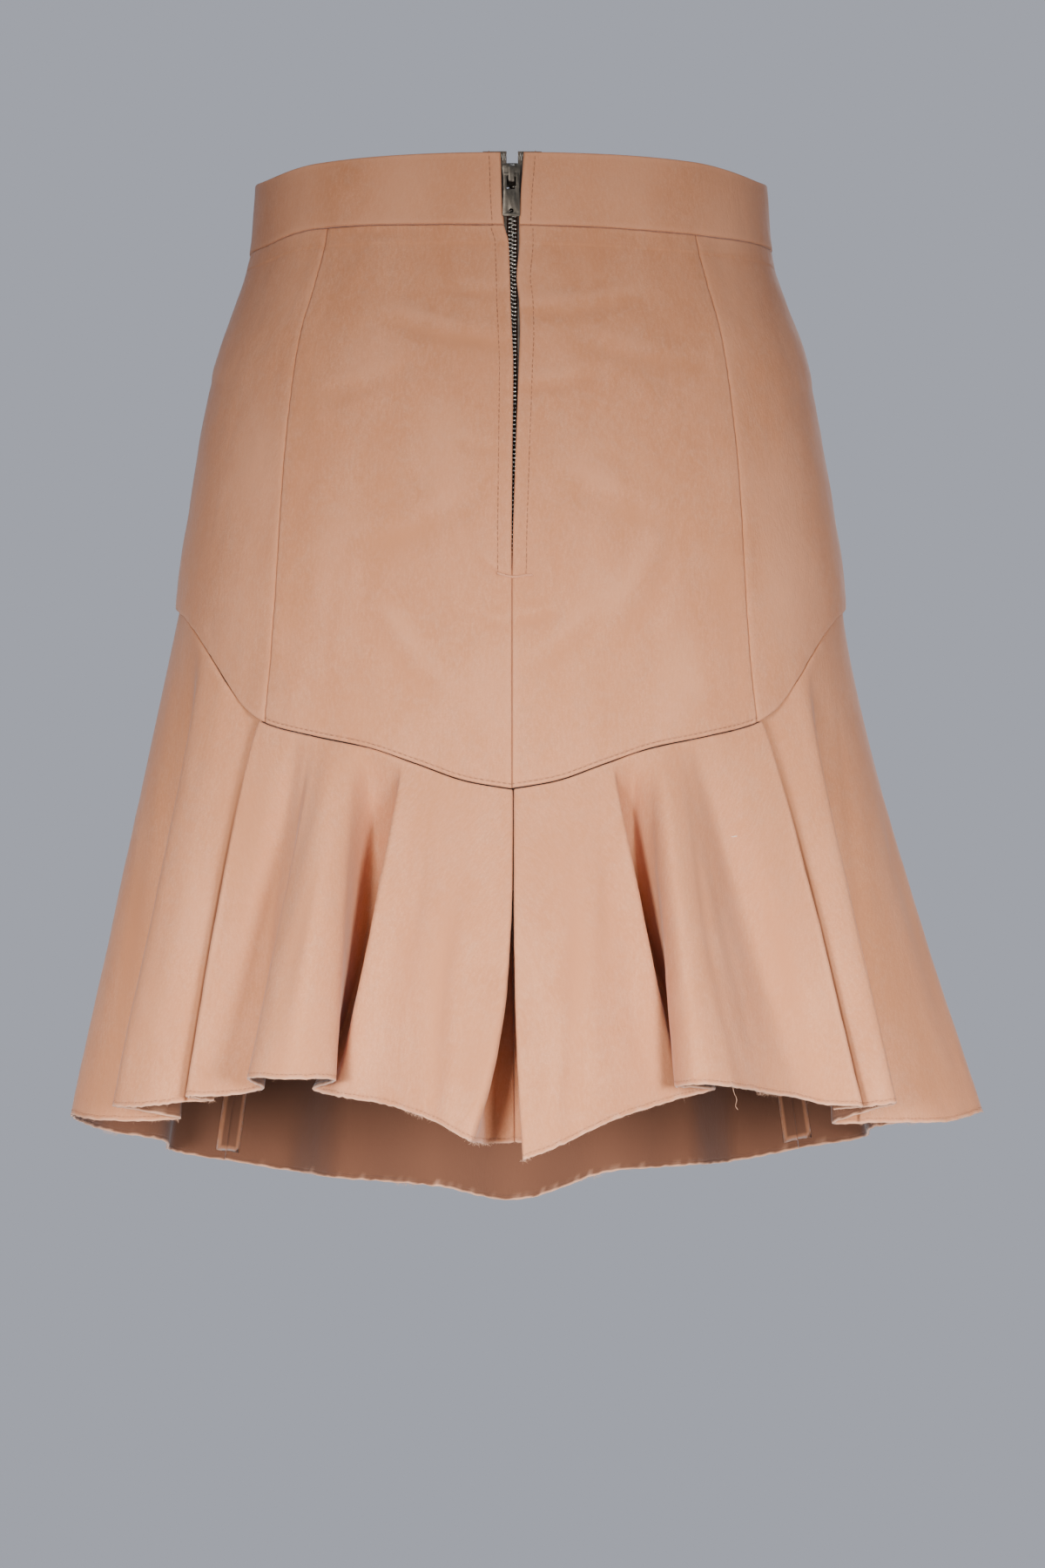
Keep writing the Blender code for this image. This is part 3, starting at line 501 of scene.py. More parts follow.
def threadMaterial(name, colour):
    material, make = newMaterial(name)
    twist = make.noise(make.place(), threadLook["twist"], 2)
    darker = tuple(part * threadLook["darker"] for part in colour)
    make.shade({**threadLook["shader"],
                "Base Color": make.mix(make.spread(twist, 0.35, 0.65), darker, colour),
                "Normal": make.bump(twist, 0.5, 0.08 * mm)})
    return material


tapeLook = {
    "hollow": (0.060, 0.045, 0.036),
    "rib": (0.115, 0.090, 0.074),
    "dust": (0.17, 0.14, 0.12),
    "shader": {"Roughness": 0.85, "Sheen Weight": 0.1},
}


def tapeMaterial():
    look = tapeLook
    material, make = newMaterial("zip tape")
    flat = make.flat()
    weave = make.maths("MULTIPLY", make.wave(flat, "X", 420, 0.6, 2),
                       make.wave(flat, "Y", 700, 1.0, 2))
    dust = make.spread(make.noise(make.place(), 300, 3), 0.4, 0.7, 0, 0.4)
    colour = make.mix(dust, make.mix(weave, look["hollow"], look["rib"]), look["dust"])
    make.shade({**look["shader"], "Base Color": colour,
                "Normal": make.bump(weave, 0.6, 0.12 * mm)})
    return material


# Metal brushed up and down, with worn spots.
def metalMaterial(name, colour, paintedShading, roughness, brush):
    material, make = newMaterial(name)
    place = make.place()
    strokes = make.noise(make.stretched(place, (1.0, 1.0, 0.12)), brush, 3, 0.6)
    spots = make.noise(place, 420, 3, 0.6)
    make.shade({
        "Metallic": 1,
        "Base Color": make.mix(make.spread(spots, 0.45, 0.72), colour, paintedShading),
        "Roughness": make.spread(strokes, 0.3, 0.7, roughness - 0.08, roughness + 0.12),
        "Normal": make.bump(strokes, 0.25, 0.04 * mm)})
    return material


cotton = brushedCotton()
seamThread = threadMaterial("seam thread", (0.30, 0.125, 0.066))
paleThread = threadMaterial("pale thread", (0.60, 0.27, 0.155))
whiteThread = threadMaterial("white thread", (0.80, 0.78, 0.74))
hemFibre = threadMaterial("hem fibre", (0.52, 0.30, 0.215))
tapeCloth = tapeMaterial()
brightMetal = metalMaterial("zip teeth", (0.66, 0.62, 0.58), (0.22, 0.19, 0.17), 0.24, 900)
darkMetal = metalMaterial("dark nickel", (0.085, 0.075, 0.066), (0.125, 0.112, 0.100), 0.42, 1300)
# Near-black metal for the strip that stands in for the shadow between the teeth.
gapShadowMetal = metalMaterial("zip gap shadow", (0.020, 0.016, 0.014), (0.035, 0.028, 0.024), 0.6, 900)
print("materials made")


# Camera, floor and light
cameraView = {
    "place": (0.565 * cm, -2.30, -36.96 * cm),
    "pitch": 2.165,
    "lens": 105.8,
}


def makeCamera():
    data = bpy.data.cameras.new("camera")
    data.lens, data.sensor_width = cameraView["lens"], 36
    data.clip_start, data.clip_end = 0.05, 50
    camera = addObject("camera", data)
    camera.location = cameraView["place"]
    camera.rotation_euler = (math.radians(90 + cameraView["pitch"]), 0, 0)
    bpy.context.scene.camera = camera


studio = {
    "background": (0.405, 0.425, 0.492),  # what shows behind the skirt
    "roomLight": (0.36, 0.41, 0.50),
    "roomStrength": 0.27,
    "floorHeight": -0.98,
    "floorRadius": 2.15,
    "floorColour": (0.62, 0.64, 0.68),
    "aim": (0, 0, -0.81),
    "lights": [
        # name, place, size, spread (degrees), watts, colour
        ("left softbox", (-0.90, -1.90, -0.42), 0.6, 54, 9.7, (1.0, 0.945, 0.84)),
        ("right softbox", (0.95, -1.85, -0.38), 0.6, 54, 9.7, (1.0, 0.945, 0.84)),
        ("top softbox", (0.0, -1.2, 1.7), 1.2, 180, 10, (0.84, 0.93, 1.0)),
        ("back softbox", (0.3, 2.3, 0.6), 1.6, 180, 62, (0.97, 0.98, 1.0)),
    ],
}


def makeWorld():
    world = bpy.data.worlds.new("studio")
    world.use_nodes = True
    make = NodeMaker(world.node_tree)
    room = make.node("ShaderNodeBackground", inputs={
        "Color": (*studio["roomLight"], 1), "Strength": studio["roomStrength"]})
    behind = make.node("ShaderNodeBackground", inputs={"Color": (*studio["background"], 1)})
    seen = make.node("ShaderNodeLightPath").outputs["Is Camera Ray"]
    both = make.node("ShaderNodeMixShader", inputs={
        0: seen, 1: room.outputs[0], 2: behind.outputs[0]})
    make.feed(world.node_tree.nodes["World Output"], {"Surface": both.outputs[0]})
    bpy.context.scene.world = world


def makeFloor():
    disc = bmesh.new()
    bmesh.ops.create_circle(disc, cap_ends=True, segments=96, radius=studio["floorRadius"],
                            matrix=Matrix.Translation((0, 0, studio["floorHeight"])))
    mesh = bpy.data.meshes.new("floor")
    disc.to_mesh(mesh)
    disc.free()
    paint, make = newMaterial("floor paint")
    make.shade({"Base Color": (*studio["floorColour"], 1), "Roughness": 0.9})
    mesh.materials.append(paint)
    addObject("floor", mesh)


def makeLights():
    aim = Vector(studio["aim"])
    for name, place, size, spread, watts, colour in studio["lights"]:
        data = bpy.data.lights.new(name, "AREA")
        data.shape, data.size, data.energy, data.color = "DISK", size, watts, colour
        data.spread = math.radians(spread)
        light = addObject(name, data)
        light.location = place
        light.rotation_euler = (aim - Vector(place)).to_track_quat("-Z", "Y").to_euler()


makeCamera()
makeWorld()
makeFloor()
makeLights()
print("camera and studio made")


# Each piece rides on a body, and the solid that it stands for, if any, is hidden.
def finishPiece(piece, node, body="skirt"):
    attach(piece, body)
    if node:
        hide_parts(node)
    return piece


# Creases that hands and wear leave, each on one side of the skirt. A crease is a shallow
# valley with a soft lip above it, bowed a little along its length.
creaseSettings = {
    "strength": 1.35,
    "lip": 0.7,  # its height as a share of the valley's depth
    "lipAway": 1.9,  # in widths of the valley
    "sideFrom": 8 * cm,
}
creaseRows = [
    # side, across, height (cm), half length, width, depth (mm), turn (degrees), bow (mm)
    ("back", 1.30, -21.0, 11, 2.4, 0.55, 15, 1.0),
    ("back", -0.55, -21.3, 6, 2.2, 0.45, -4, 0.6),
    ("back", -1.10, -18.5, 6, 1.7, 0.50, -42, 0.5),
    ("back", 2.16, -18.8, 13, 1.5, 0.34, 90, 0.0),
    ("back", 1.50, -20.1, 7, 1.5, 0.26, 2, 0.0),
    ("back", 2.70, -22.4, 22, 4.0, 0.45, 40, 3.0),
    ("back", -3.30, -7.3, 30, 4.0, 0.55, -13, 2.0),
    ("back", -1.50, -5.2, 15, 3.0, 0.32, -4, 1.0),
    ("back", -1.40, -12.9, 12, 2.8, 0.32, -8, 1.0),
    ("back", -6.40, -1.9, 22, 3.4, 0.40, -3, 1.0),
    ("back", -2.40, -1.2, 26, 2.4, 0.38, 2, 0.5),
    ("back", 2.50, -1.4, 24, 2.6, 0.34, -2, 0.5),
    ("back", 3.10, -6.1, 32, 3.8, 0.45, 8, 3.0),
    ("back", 2.20, -9.8, 20, 3.4, 0.34, 10, 2.0),
    ("back", 6.10, -8.4, 26, 4.2, 0.36, -9, 2.0),
    ("back", -7.30, -9.9, 22, 4.4, 0.34, 12, 2.0),
    ("back", 4.60, -15.6, 30, 5.5, 0.42, -22, 3.0),
    ("back", -4.40, -16.8, 28, 5.0, 0.40, 18, 3.0),
    ("back", 6.90, -19.2, 30, 6.0, 0.45, 62, 4.0),
    ("back", -5.30, -22.9, 28, 5.2, 0.42, -52, 3.0),
    ("right", -2.60, -9.2, 24, 3.6, 0.30, 16, 3.0),
    ("right", 1.90, -12.4, 28, 4.2, 0.35, -12, 3.0),
    ("right", 4.30, -7.6, 18, 3.2, 0.25, 24, 2.0),
    ("left", 2.20, -8.7, 25, 3.8, 0.32, -14, 3.0),
    ("left", -1.70, -13.3, 22, 4.0, 0.28, 18, 2.0),
    ("front", 0.40, -8.9, 42, 4.4, 0.40, 4, 5.0),
    ("front", -4.90, -11.6, 27, 3.9, 0.32, -22, 3.0),
    ("front", 5.60, -12.9, 31, 4.3, 0.30, 19, 3.0),
    ("front", 1.70, -21.8, 24, 5.2, 0.34, 62, 3.0),
]


# How far each place lies along and above a line through a point (cm), turned by some degrees.
def turnedAxes(sideways, z, across, height, turn):
    turned = math.radians(turn)
    dx, dz = sideways - across * cm, z - height * cm
    return (dx * math.cos(turned) + dz * math.sin(turned),
            dz * math.cos(turned) - dx * math.sin(turned))


def creaseRelief(points):
    use = creaseSettings
    total = np.zeros(points.shape[:-1])
    x, y, z = np.moveaxis(points, -1, 0)
    sides = {"back": (x, y < 0.0), "front": (-x, y > 0.0),
             "right": (y, x > use["sideFrom"]), "left": (-y, x < -use["sideFrom"])}
    for side, across, height, reach, width, depth, turn, bow in creaseRows:
        sideways, here = sides[side]
        along, over = turnedAxes(sideways, z, across, height, turn)
        along = along / (reach * mm)
        over = (over - bow * mm * along**2) / (width * mm)
        valley = use["lip"] * hump(over - use["lipAway"], 1) - hump(over, 1)
        total += use["strength"] * depth * mm * (np.exp(-along**4) * here) * valley
    return total


# Waistband
bandSettings = {
    "out": (skirtForm["bandCloth"] - skirtForm["cloth"]) / 2,
    "size": (0.716, 0.0355),
    "waves": [(0.18 * mm, 3, 0.05, 3)],
    "seamWaves": [(0.10 * mm, 1, 0.013, 4)], "seamWavesReach": 9 * mm,
    "stitchGroove": (5.6 * mm, -0.20 * mm, 0.6 * mm),  # beside the zip: distance, height, width
}


def makeWaistband():
    use = bandSettings
    points = gridBetween(lambda height: openingEdge(height, 2),
                         lambda height: 360 + openingEdge(height, 1),
                         lambda angle: bandEdge(angle, 1),
                         lambda angle: bandEdge(angle, 2) + seamGap / 2,
                         use["size"], skirtForm["step"]["band"], use["out"])
    shell = Shell(points, skirtForm["bandCloth"] / 2, ("fold", "fold", "fold", "seam"))
    shell.addWaves(use["waves"], shell.fromStart)
    shell.addWaves(use["seamWaves"], shell.fromStart, hump(shell.fromFoot, use["seamWavesReach"]))
    shell.relief += (beside(shell.fromStart, *use["stitchGroove"])
                     + beside(shell.fromEnd, *use["stitchGroove"]))
    return shell


# Hip yoke
yokeSettings = {
    "sizes": {"back": (0.115, 0.26), "side": (0.215, 0.20), "front": (0.23, 0.27)},
    "oneDegree": 2.6 * mm,  # round the body, for the waves
    "waves": [(0.35 * mm, 0.8, 0.075, 11), (0.12 * mm, 1.0, 0.022, 12)],
    "creaseShading": 0.95,
    "uneven": (0.6, 0.4, 0.06),  # the next line's least strength, what waves add, their length
    # distance, height and width of lines beside an edge
    "bandLine": (9.6 * mm, -0.62, 1.8 * mm),  # a painted shadow line, where the band's allowance ends
    "stitchGroove": (2.0 * mm, -0.26 * mm, 0.7 * mm),  # above the yoke's seam
    "zipGroove": (6.6 * mm, -0.30 * mm, 0.9 * mm),
    "zipFold": (3.2 * mm, 0.25 * mm, 2.4 * mm),
    "zipStitchEnd": (-19.6 * cm, -18.6 * cm),
    "allowance": 7 * mm, "allowanceSlope": 2.4 * mm,
    "topRise": 0.22 * mm, "footRise": 0.8, "sideRise": 0.6,  # the last two as shares of the first
    "pucker": 0.11 * mm, "puckerLength": 7.5 * mm, "puckerPatch": 0.03, "puckerReach": 5 * mm,
}


# Each panel's two upright edges, as the angle at a height, and what kind of panel it is.
def panelEdges():
    def halfGapAt(angle, height):
        return degreesAlong(seamGap / 2, angle, height)

    def right(side):
        return lambda height: princessSeam(height) + side * halfGapAt(princessSeam(height), height)

    def front(side):
        angle = skirtForm["frontPrincess"]
        return lambda height: angle + side * halfGapAt(angle, height)

    def mirrored(edge, full=0):
        return lambda height: full - edge(height)

    return {
        "back_panel_right": (lambda height: openingEdge(height, 2), right(-1), "back"),
        "side_panel_right": (right(1), front(-1), "side"),
        "front_panel": (front(1), mirrored(front(1), 360), "front"),
        "side_panel_left": (mirrored(front(-1)), mirrored(right(1)), "side"),
        "back_panel_left": (mirrored(right(-1)), lambda height: openingEdge(height, 1), "back"),
    }


def allowanceRise(distance):
    low, slope = yokeSettings["allowance"], yokeSettings["allowanceSlope"]
    return yokeSettings["topRise"] * (1 - ease(low, low + slope, distance))


# What sewing does to a panel: allowances behind it, puckers, and grooves under the stitches.
def sewPanel(shell, around, z, size, fromZip):
    use = yokeSettings
    sides, ends = (shell.fromStart, shell.fromEnd), (shell.fromTop, shell.fromFoot)
    shell.relief += allowanceRise(shell.fromTop) + use["footRise"] * allowanceRise(shell.fromFoot)
    for distance in sides:
        shell.relief += use["sideRise"] * allowanceRise(distance)
    upright = puckers(z, around, use["puckerLength"], use["puckerPatch"], 13)
    level = puckers(around, z, use["puckerLength"], use["puckerPatch"], 14)
    for waves, distances in ((upright, sides), (level, ends)):
        for distance in distances:
            shell.relief += use["pucker"] * waves * hump(distance, use["puckerReach"])
    if size != "side":
        shell.relief += beside(shell.fromFoot, *use["stitchGroove"])
    if size == "back":
        shown = ease(*use["zipStitchEnd"], z)
        for line in ("zipGroove", "zipFold"):
            shell.relief += shown * beside(fromZip, *use[line])


def makePanel(name, start, end, size):
    use = yokeSettings
    points = gridBetween(start, end, lambda angle: bandEdge(angle, 2) - seamGap / 2,
                         lambda angle: yokeSeam(angle) + seamGap / 2, use["sizes"][size],
                         skirtForm["step"][size])
    shell = Shell(points, clothHalf, ("seam",) * 4)
    x, y, z = np.moveaxis(points, -1, 0)
    around = np.degrees(np.arctan2(x, -y)) * use["oneDegree"]
    shell.addWaves(use["waves"], around)
    creases = creaseRelief(points)
    shell.relief += creases
    # Painted shade in each crease's valley and a painted highlight on its lip.
    shell.paintedShading += use["creaseShading"] * creases / mm
    least, added, length = use["uneven"]
    # A painted shadow line under the end of the band's allowance, uneven in strength.
    uneven = least + added * softWaves(around, z, length, 15)
    shell.paintedShading += uneven * beside(shell.fromTop, *use["bandLine"])
    sewPanel(shell, around, z, size, shell.fromStart if name.endswith("right") else shell.fromEnd)
    return shell


# Flounce
flounceSettings = {
    "length": 0.19,
    "drop": 0.4 * mm,
    "turnAtHem": 0.5 * cm,
    "foldSteps": 4,
    "rowStep": 3.0 * mm,
    "columnStep": 2.6 * mm,
    "raggedHem": 0.35 * mm, "raggedLength": 0.05, "raggedShare": (0.90, 1.0),
    "looseShare": (0.05, 0.5),  # near the seam, folded layers lie close together
    "creaseShading": 0.5,
    "drift": (0.01, 5, 20),  # how a crease wanders: by how much, how often, and from where
    "lip": (0.35, 2.1, 1.1),  # height, distance and width, as shares of the valley's
    "waves": [(0.28 * mm, 0.5, 0.045, 22), (0.10 * mm, 1.0, 0.016, 23)],
    "stitchGroove": (2.2 * mm, -0.16 * mm, 0.6 * mm),  # distance, height, width
    "hemPuckers": (2 * mm, 0.05 * mm, 4 * mm), "puckerLength": 9 * mm, "puckerPatch": 0.04,
}
foldsBackRight = [
    # angle and layer at the yoke's seam; x, y, z at the hem (cm); pressed; bend; and how far
    # inwards (+y) it swings halfway down
    (0.0, 2, 0.20, -12.45, -45.62, False, 1.0), (5.6, 2, 1.80, -12.70, -45.70, True, 1.0),
    (0.52, 1, 0.65, -16.00, -46.30, True, 3.0), (5.2, 0, 2.50, -15.30, -45.60, False, 1.6),
    (9.4, 0, 4.40, -14.30, -44.70, False, 1.0), (12.4, 0, 6.20, -13.10, -44.10, False, 1.0),
    (14.9, 0, 8.00, -11.90, -43.60, False, 1.0, -0.5),
    (16.4, 0, 8.90, -11.25, -43.40, False, 2.6, 0.8),
    (18.4, 0, 9.70, -11.00, -43.20, False, 2.6, 1.6),
    (20.0, 0, 9.30, -12.10, -43.10, False, 2.0, 0.8),
    (21.6, 0, 7.75, -13.40, -43.00, False, 1.0, -0.1),
    (23.4, 0, 8.70, -15.00, -42.85, False, 1.0, -0.6),
    (25.4, 0, 10.20, -14.30, -42.95, False, 1.0, -0.4),
    (27.6, 0, 11.90, -12.00, -43.30, False, 1.0),
    (30.0, 0, 13.60, -10.50, -43.60, False, 1.0, 0.6),
    (37.5, 0, 15.10, -9.90, -43.95, False, 0.95), (44.4, 0, 16.75, -9.60, -44.05, True, 0.87),
    (38.6, 1, 15.50, -8.60, -44.20, False, 0.87),
]
foldsBackLeft = [
    (-38.4, 1, -14.25, -9.00, -43.80, False, 0.8), (-44.4, 1, -15.45, -10.05, -43.55, True, 0.8),
    (-39.4, 0, -14.20, -10.35, -43.55, False, 0.9),
    (-35.6, 0, -12.80, -10.80, -43.40, False, 1.0, 0.5),
    (-33.4, 0, -11.75, -11.60, -43.15, False, 1.0), (-31.0, 0, -12.30, -13.60, -42.60, False, 1.0),
    (-28.2, 0, -10.30, -15.00, -42.60, False, 1.0, -0.6),
    (-25.2, 0, -8.25, -14.00, -42.65, False, 1.0, -0.2),
    (-20.8, 0, -9.40, -10.90, -43.20, False, 3.0, 1.7),
    (-17.8, 0, -8.90, -11.35, -43.35, False, 3.0, 0.9),
    (-15.8, 0, -8.10, -12.20, -43.50, False, 1.0, -0.5),
    (-12.8, 0, -6.30, -13.10, -43.75, False, 1.0), (-9.4, 0, -4.70, -14.00, -44.15, False, 1.0),
    (-5.0, 0, -3.20, -14.85, -44.75, False, 1.4), (0.11, 0, -2.00, -15.50, -45.40, True, 3.2),
    (-5.4, 1, -1.00, -12.40, -45.70, True, 1.0), (0.0, 2, 0.20, -12.45, -45.62, False, 1.0),
]
foldsRoundFront = [
    (38.6, 2.25, 15.66, -8.35, -44.20, False, 0.87),
    (45.6, 2.25, 16.90, -8.90, -44.10, False, 0.87), (50.5, 1, 17.70, -9.20, -44.00, False, 0.95),
    (55.0, 0, 18.45, -8.90, -43.90, False, 1.0), (60.0, 0, 15.60, -6.50, -44.95, False, 1.0),
    (67.0, 0.5, 18.20, -5.40, -44.95, False, 1.1), (74.0, 1, 21.20, -3.40, -45.00, False, 1.2),
    (88.0, 1, 23.45, 0.00, -44.60, False, 1.25), (100.0, 1, 22.20, 3.60, -45.00, False, 1.25),
    (113.0, 0, 18.60, 6.20, -45.60, False, 1.0), (125.0, 0, 18.20, 10.10, -46.30, False, 1.0),
    (136.0, 0, 15.00, 11.20, -46.90, False, 1.0), (145.0, 0, 11.80, 10.70, -47.50, False, 1.0),
    (155.0, 0, 9.40, 14.00, -47.90, False, 1.0), (166.0, 0, 5.00, 12.50, -48.20, False, 1.0),
    (178.0, 0, 0.30, 14.80, -49.75, False, 1.0), (192.0, 0, -4.20, 12.70, -48.90, False, 1.0),
    (204.0, 0, -9.00, 14.30, -48.60, False, 1.0), (215.0, 0, -11.90, 11.10, -48.00, False, 1.0),
    (224.0, 0, -15.00, 11.20, -47.50, False, 1.0), (234.0, 0, -17.60, 10.20, -47.00, False, 1.0),
    (247.0, 0, -17.90, 6.40, -46.30, False, 1.0), (260.0, 1, -20.90, 3.80, -45.60, False, 1.0),
    (271.0, 1, -21.85, -0.50, -44.75, False, 1.0), (283.0, 1, -20.20, -3.60, -44.90, False, 1.0),
    (289.0, 0.5, -18.00, -4.60, -44.90, False, 1.0), (294.0, 0, -16.10, -5.60, -44.75, False, 1.0),
    (299.5, 0, -19.20, -7.20, -44.10, False, 1.0), (305.0, 0, -17.90, -8.75, -44.10, False, 0.95),
    (310.0, 1, -16.60, -9.30, -43.95, False, 0.85),
    (314.2, 2.25, -15.75, -9.30, -43.85, False, 0.8),
    (321.6, 2.25, -14.40, -8.75, -43.80, False, 0.8),
]


# Each pressed fold as several points, so that the cloth turns round it.
def openFolds(rows):
    path = []
    for i, (angle, layer, x, y, z, pressed, bend, *belly) in enumerate(rows):
        hem = np.array([x, y, z]) * cm
        belly = belly[0] * cm if belly else 0.0
        if not pressed:
            path.append((angle, layer, hem, np.zeros(3), bend, belly))
            continue
        before, after = rows[i - 1], rows[i + 1]
        radius = degreesAlong(skirtForm["layer"] / 2, angle, yokeSeam(angle))
        inward = radius * np.sign(before[0] - angle)
        ways = [np.array(row[2:5]) * cm - hem for row in (before, after)]
        first, last = (way / np.linalg.norm(way) * flounceSettings["turnAtHem"] for way in ways)
        for t in np.linspace(0, 1, flounceSettings["foldSteps"] + 1):
            turn = math.pi * (t - 0.5)
            path.append((angle + inward * (1 - math.cos(turn)),
                         (layer + after[1]) / 2 + (after[1] - layer) / 2 * math.sin(turn), hem,
                         ((1 - t) ** 2 - 0.25) * first + (t**2 - 0.25) * last, bend, belly))
    return path


# A length of flounce: folds as knots along it, from the yoke's seam down to the hem.
class Flounce:
    def __init__(self, rows):
        path = map(np.array, zip(*openFolds(rows)))
        self.angle, self.layer, self.hem, self.turn, self.bend, self.belly = path
        reach = np.linalg.norm(np.diff(self.hem + self.turn, axis=0), axis=1)
        self.knots = np.concatenate([[0], np.cumsum(np.sqrt(reach))])

    def points(self, at, down):
        angle = smooth(self.knots, self.angle, at)
        layer = smooth(self.knots, self.layer, at)
        bend = smooth(self.knots, self.bend, at)
        hem = flowing(self.knots, self.hem, at)
        seam = yokeSeam(angle) - seamGap / 2 - flounceSettings["drop"]
        top = onBody(angle, seam, layer * skirtForm["layer"])
        share = np.repeat(down[None, :, None], len(at), 0) * np.ones(3)
        turned = flowing(self.knots, self.turn, at)[:, None] * share
        belly = smooth(self.knots, self.belly, at)[:, None] * 4 * (down * (1 - down))[None, :]
        share[:, :, 0] **= bend[:, None]
        points = top[:, None] + (hem - top)[:, None] * share + turned
        points[:, :, 1] += belly
        return points

    def knotOf(self, angle):
        return self.knots[int(np.argmin(abs(self.angle - angle)))]

    def steps(self, low, high):
        values = [low]
        inside = [knot for knot in self.knots if low < knot < high]
        for first, last in zip([low, *inside], [*inside, high]):
            pieces = max(3, math.ceil((last - first) ** 2 / flounceSettings["columnStep"]))
            values.extend(np.linspace(first, last, pieces + 1)[1:])
        return np.array(values)

    # Closer columns beside each sewn edge, the outermost half a gap from the seam.
    def edged(self, values):
        ends = []
        for edge, inner in ((0, 1), (-1, -2)):
            here, inward = flowing(self.knots, self.hem + self.turn, values[[edge, inner]])
            speed = np.linalg.norm(inward - here) / (values[inner] - values[edge])
            ends.append(values[edge] + (seamGap / 2 + skirtForm["edgeRows"]) / speed)
        middle = values[(values > ends[0][-1]) & (values < ends[1][-1])]
        return np.concatenate([ends[0], middle, ends[1][::-1]])


# Soft lengthways folds, too shallow for the tables: knot share along the piece, width as a
# share of it, depth (mm), and where down the cloth each is deepest and how long it is.
flounceCreases = {
    "flounce_back_right": [(0.295, 0.013, 1.2, 0.60, 0.36), (0.365, 0.011, 0.8, 0.34, 0.20),
                           (0.715, 0.013, 1.0, 0.60, 0.34), (0.84, 0.012, 0.9, 0.70, 0.30),
                           (0.25, 0.008, 0.5, 0.80, 0.16)],
    "flounce_back_left": [(0.345, 0.013, 1.0, 0.55, 0.36), (0.705, 0.013, 1.3, 0.62, 0.38),
                          (0.635, 0.012, 0.8, 0.34, 0.24), (0.20, 0.010, 0.8, 0.62, 0.28),
                          (0.74, 0.007, 0.5, 0.80, 0.15)],
    "flounce_side_right": [(0.36, 0.020, 1.0, 0.60, 0.35), (0.52, 0.026, 1.3, 0.70, 0.34),
                           (0.72, 0.022, 1.0, 0.50, 0.30), (0.86, 0.018, 0.9, 0.66, 0.28)],
    "flounce_side_left": [(0.15, 0.022, 1.0, 0.62, 0.33), (0.33, 0.020, 0.9, 0.55, 0.28),
                          (0.50, 0.025, 1.2, 0.72, 0.35), (0.66, 0.018, 0.8, 0.48, 0.26)],
    "flounce_front": [(0.10, 0.018, 0.9, 0.66, 0.30), (0.31, 0.022, 1.1, 0.52, 0.34),
                      (0.57, 0.020, 1.0, 0.70, 0.28), (0.83, 0.019, 0.8, 0.45, 0.26)],
}


def creaseFlounce(name, shell, share, down, loose):
    use = flounceSettings
    lip, lipAway, lipWidth = use["lip"]
    drift, often, shift = use["drift"]
    for where, width, depth, middle, reach in flounceCreases[name]:
        lengthways = hump(down - middle, reach)[None, :]
        wander = drift * np.sin(down * often + where * shift)[None, :]
        over = (share - where - wander) / width
        valley = lengthways * loose * (hump(over, 1) - lip * hump(over - lipAway, lipWidth))
        shell.relief -= depth * mm * valley
        # Painted shade in the valley and a painted highlight on its lip.
        shell.paintedShading -= use["creaseShading"] * depth * valley


def makeFlounce(name, flounce, start=None, end=None):
    use = flounceSettings
    low = flounce.knots[0] if start is None else flounce.knotOf(start)
    high = flounce.knots[-1] if end is None else flounce.knotOf(end)
    at = flounce.edged(flounce.steps(low, high))
    down = edgedShares(use["length"], use["rowStep"])
    points = flounce.points(at, down)
    ragged = softWaves(at, 0, use["raggedLength"], 21)[:, None]
    points[..., 2] += use["raggedHem"] * ragged * ease(*use["raggedShare"], down)[None, :]
    shell = Shell(points, clothHalf, ("seam", "seam", "seam", "raw"))
    loose = ease(*use["looseShare"], down)[None, :]
    creaseFlounce(name, shell, ((at - low) / (high - low))[:, None], down, loose)
    around, z = shell.fromStart, points[..., 2]
    shell.addWaves(use["waves"], around, loose)
    shell.relief += beside(shell.fromFoot, *use["stitchGroove"])
    waves = puckers(around, z, use["puckerLength"], use["puckerPatch"], 24)
    shell.relief += waves * beside(shell.fromFoot, *use["hemPuckers"])
    return shell


shells = {"waistband": makeWaistband()}
for panelName, (startEdge, endEdge, panelSize) in panelEdges().items():
    shells[panelName] = makePanel(panelName, startEdge, endEdge, panelSize)
backRight, backLeft = Flounce(foldsBackRight), Flounce(foldsBackLeft)
roundFront = Flounce(foldsRoundFront)
frontSeam = skirtForm["frontPrincess"]
for flounceName, folds, firstAngle, lastAngle in (
        ("flounce_back_right", backRight, None, None),
        ("flounce_back_left", backLeft, None, None),
        ("flounce_side_right", roundFront, None, frontSeam),
        ("flounce_front", roundFront, frontSeam, 360 - frontSeam),
        ("flounce_side_left", roundFront, 360 - frontSeam, None)):
    shells[flounceName] = makeFlounce(flounceName, folds, firstAngle, lastAngle)


# Where a pressed pleat lies over the cloth: x and z along its folded edge, from the hem up.
def foldedEdge(flounce, angle):
    at = flounce.knots[np.argsort(abs(flounce.angle - angle))[:1]]
    line = flounce.points(at, np.linspace(0, 1, 40))[0]
    return line[::-1, 0], line[::-1, 2]


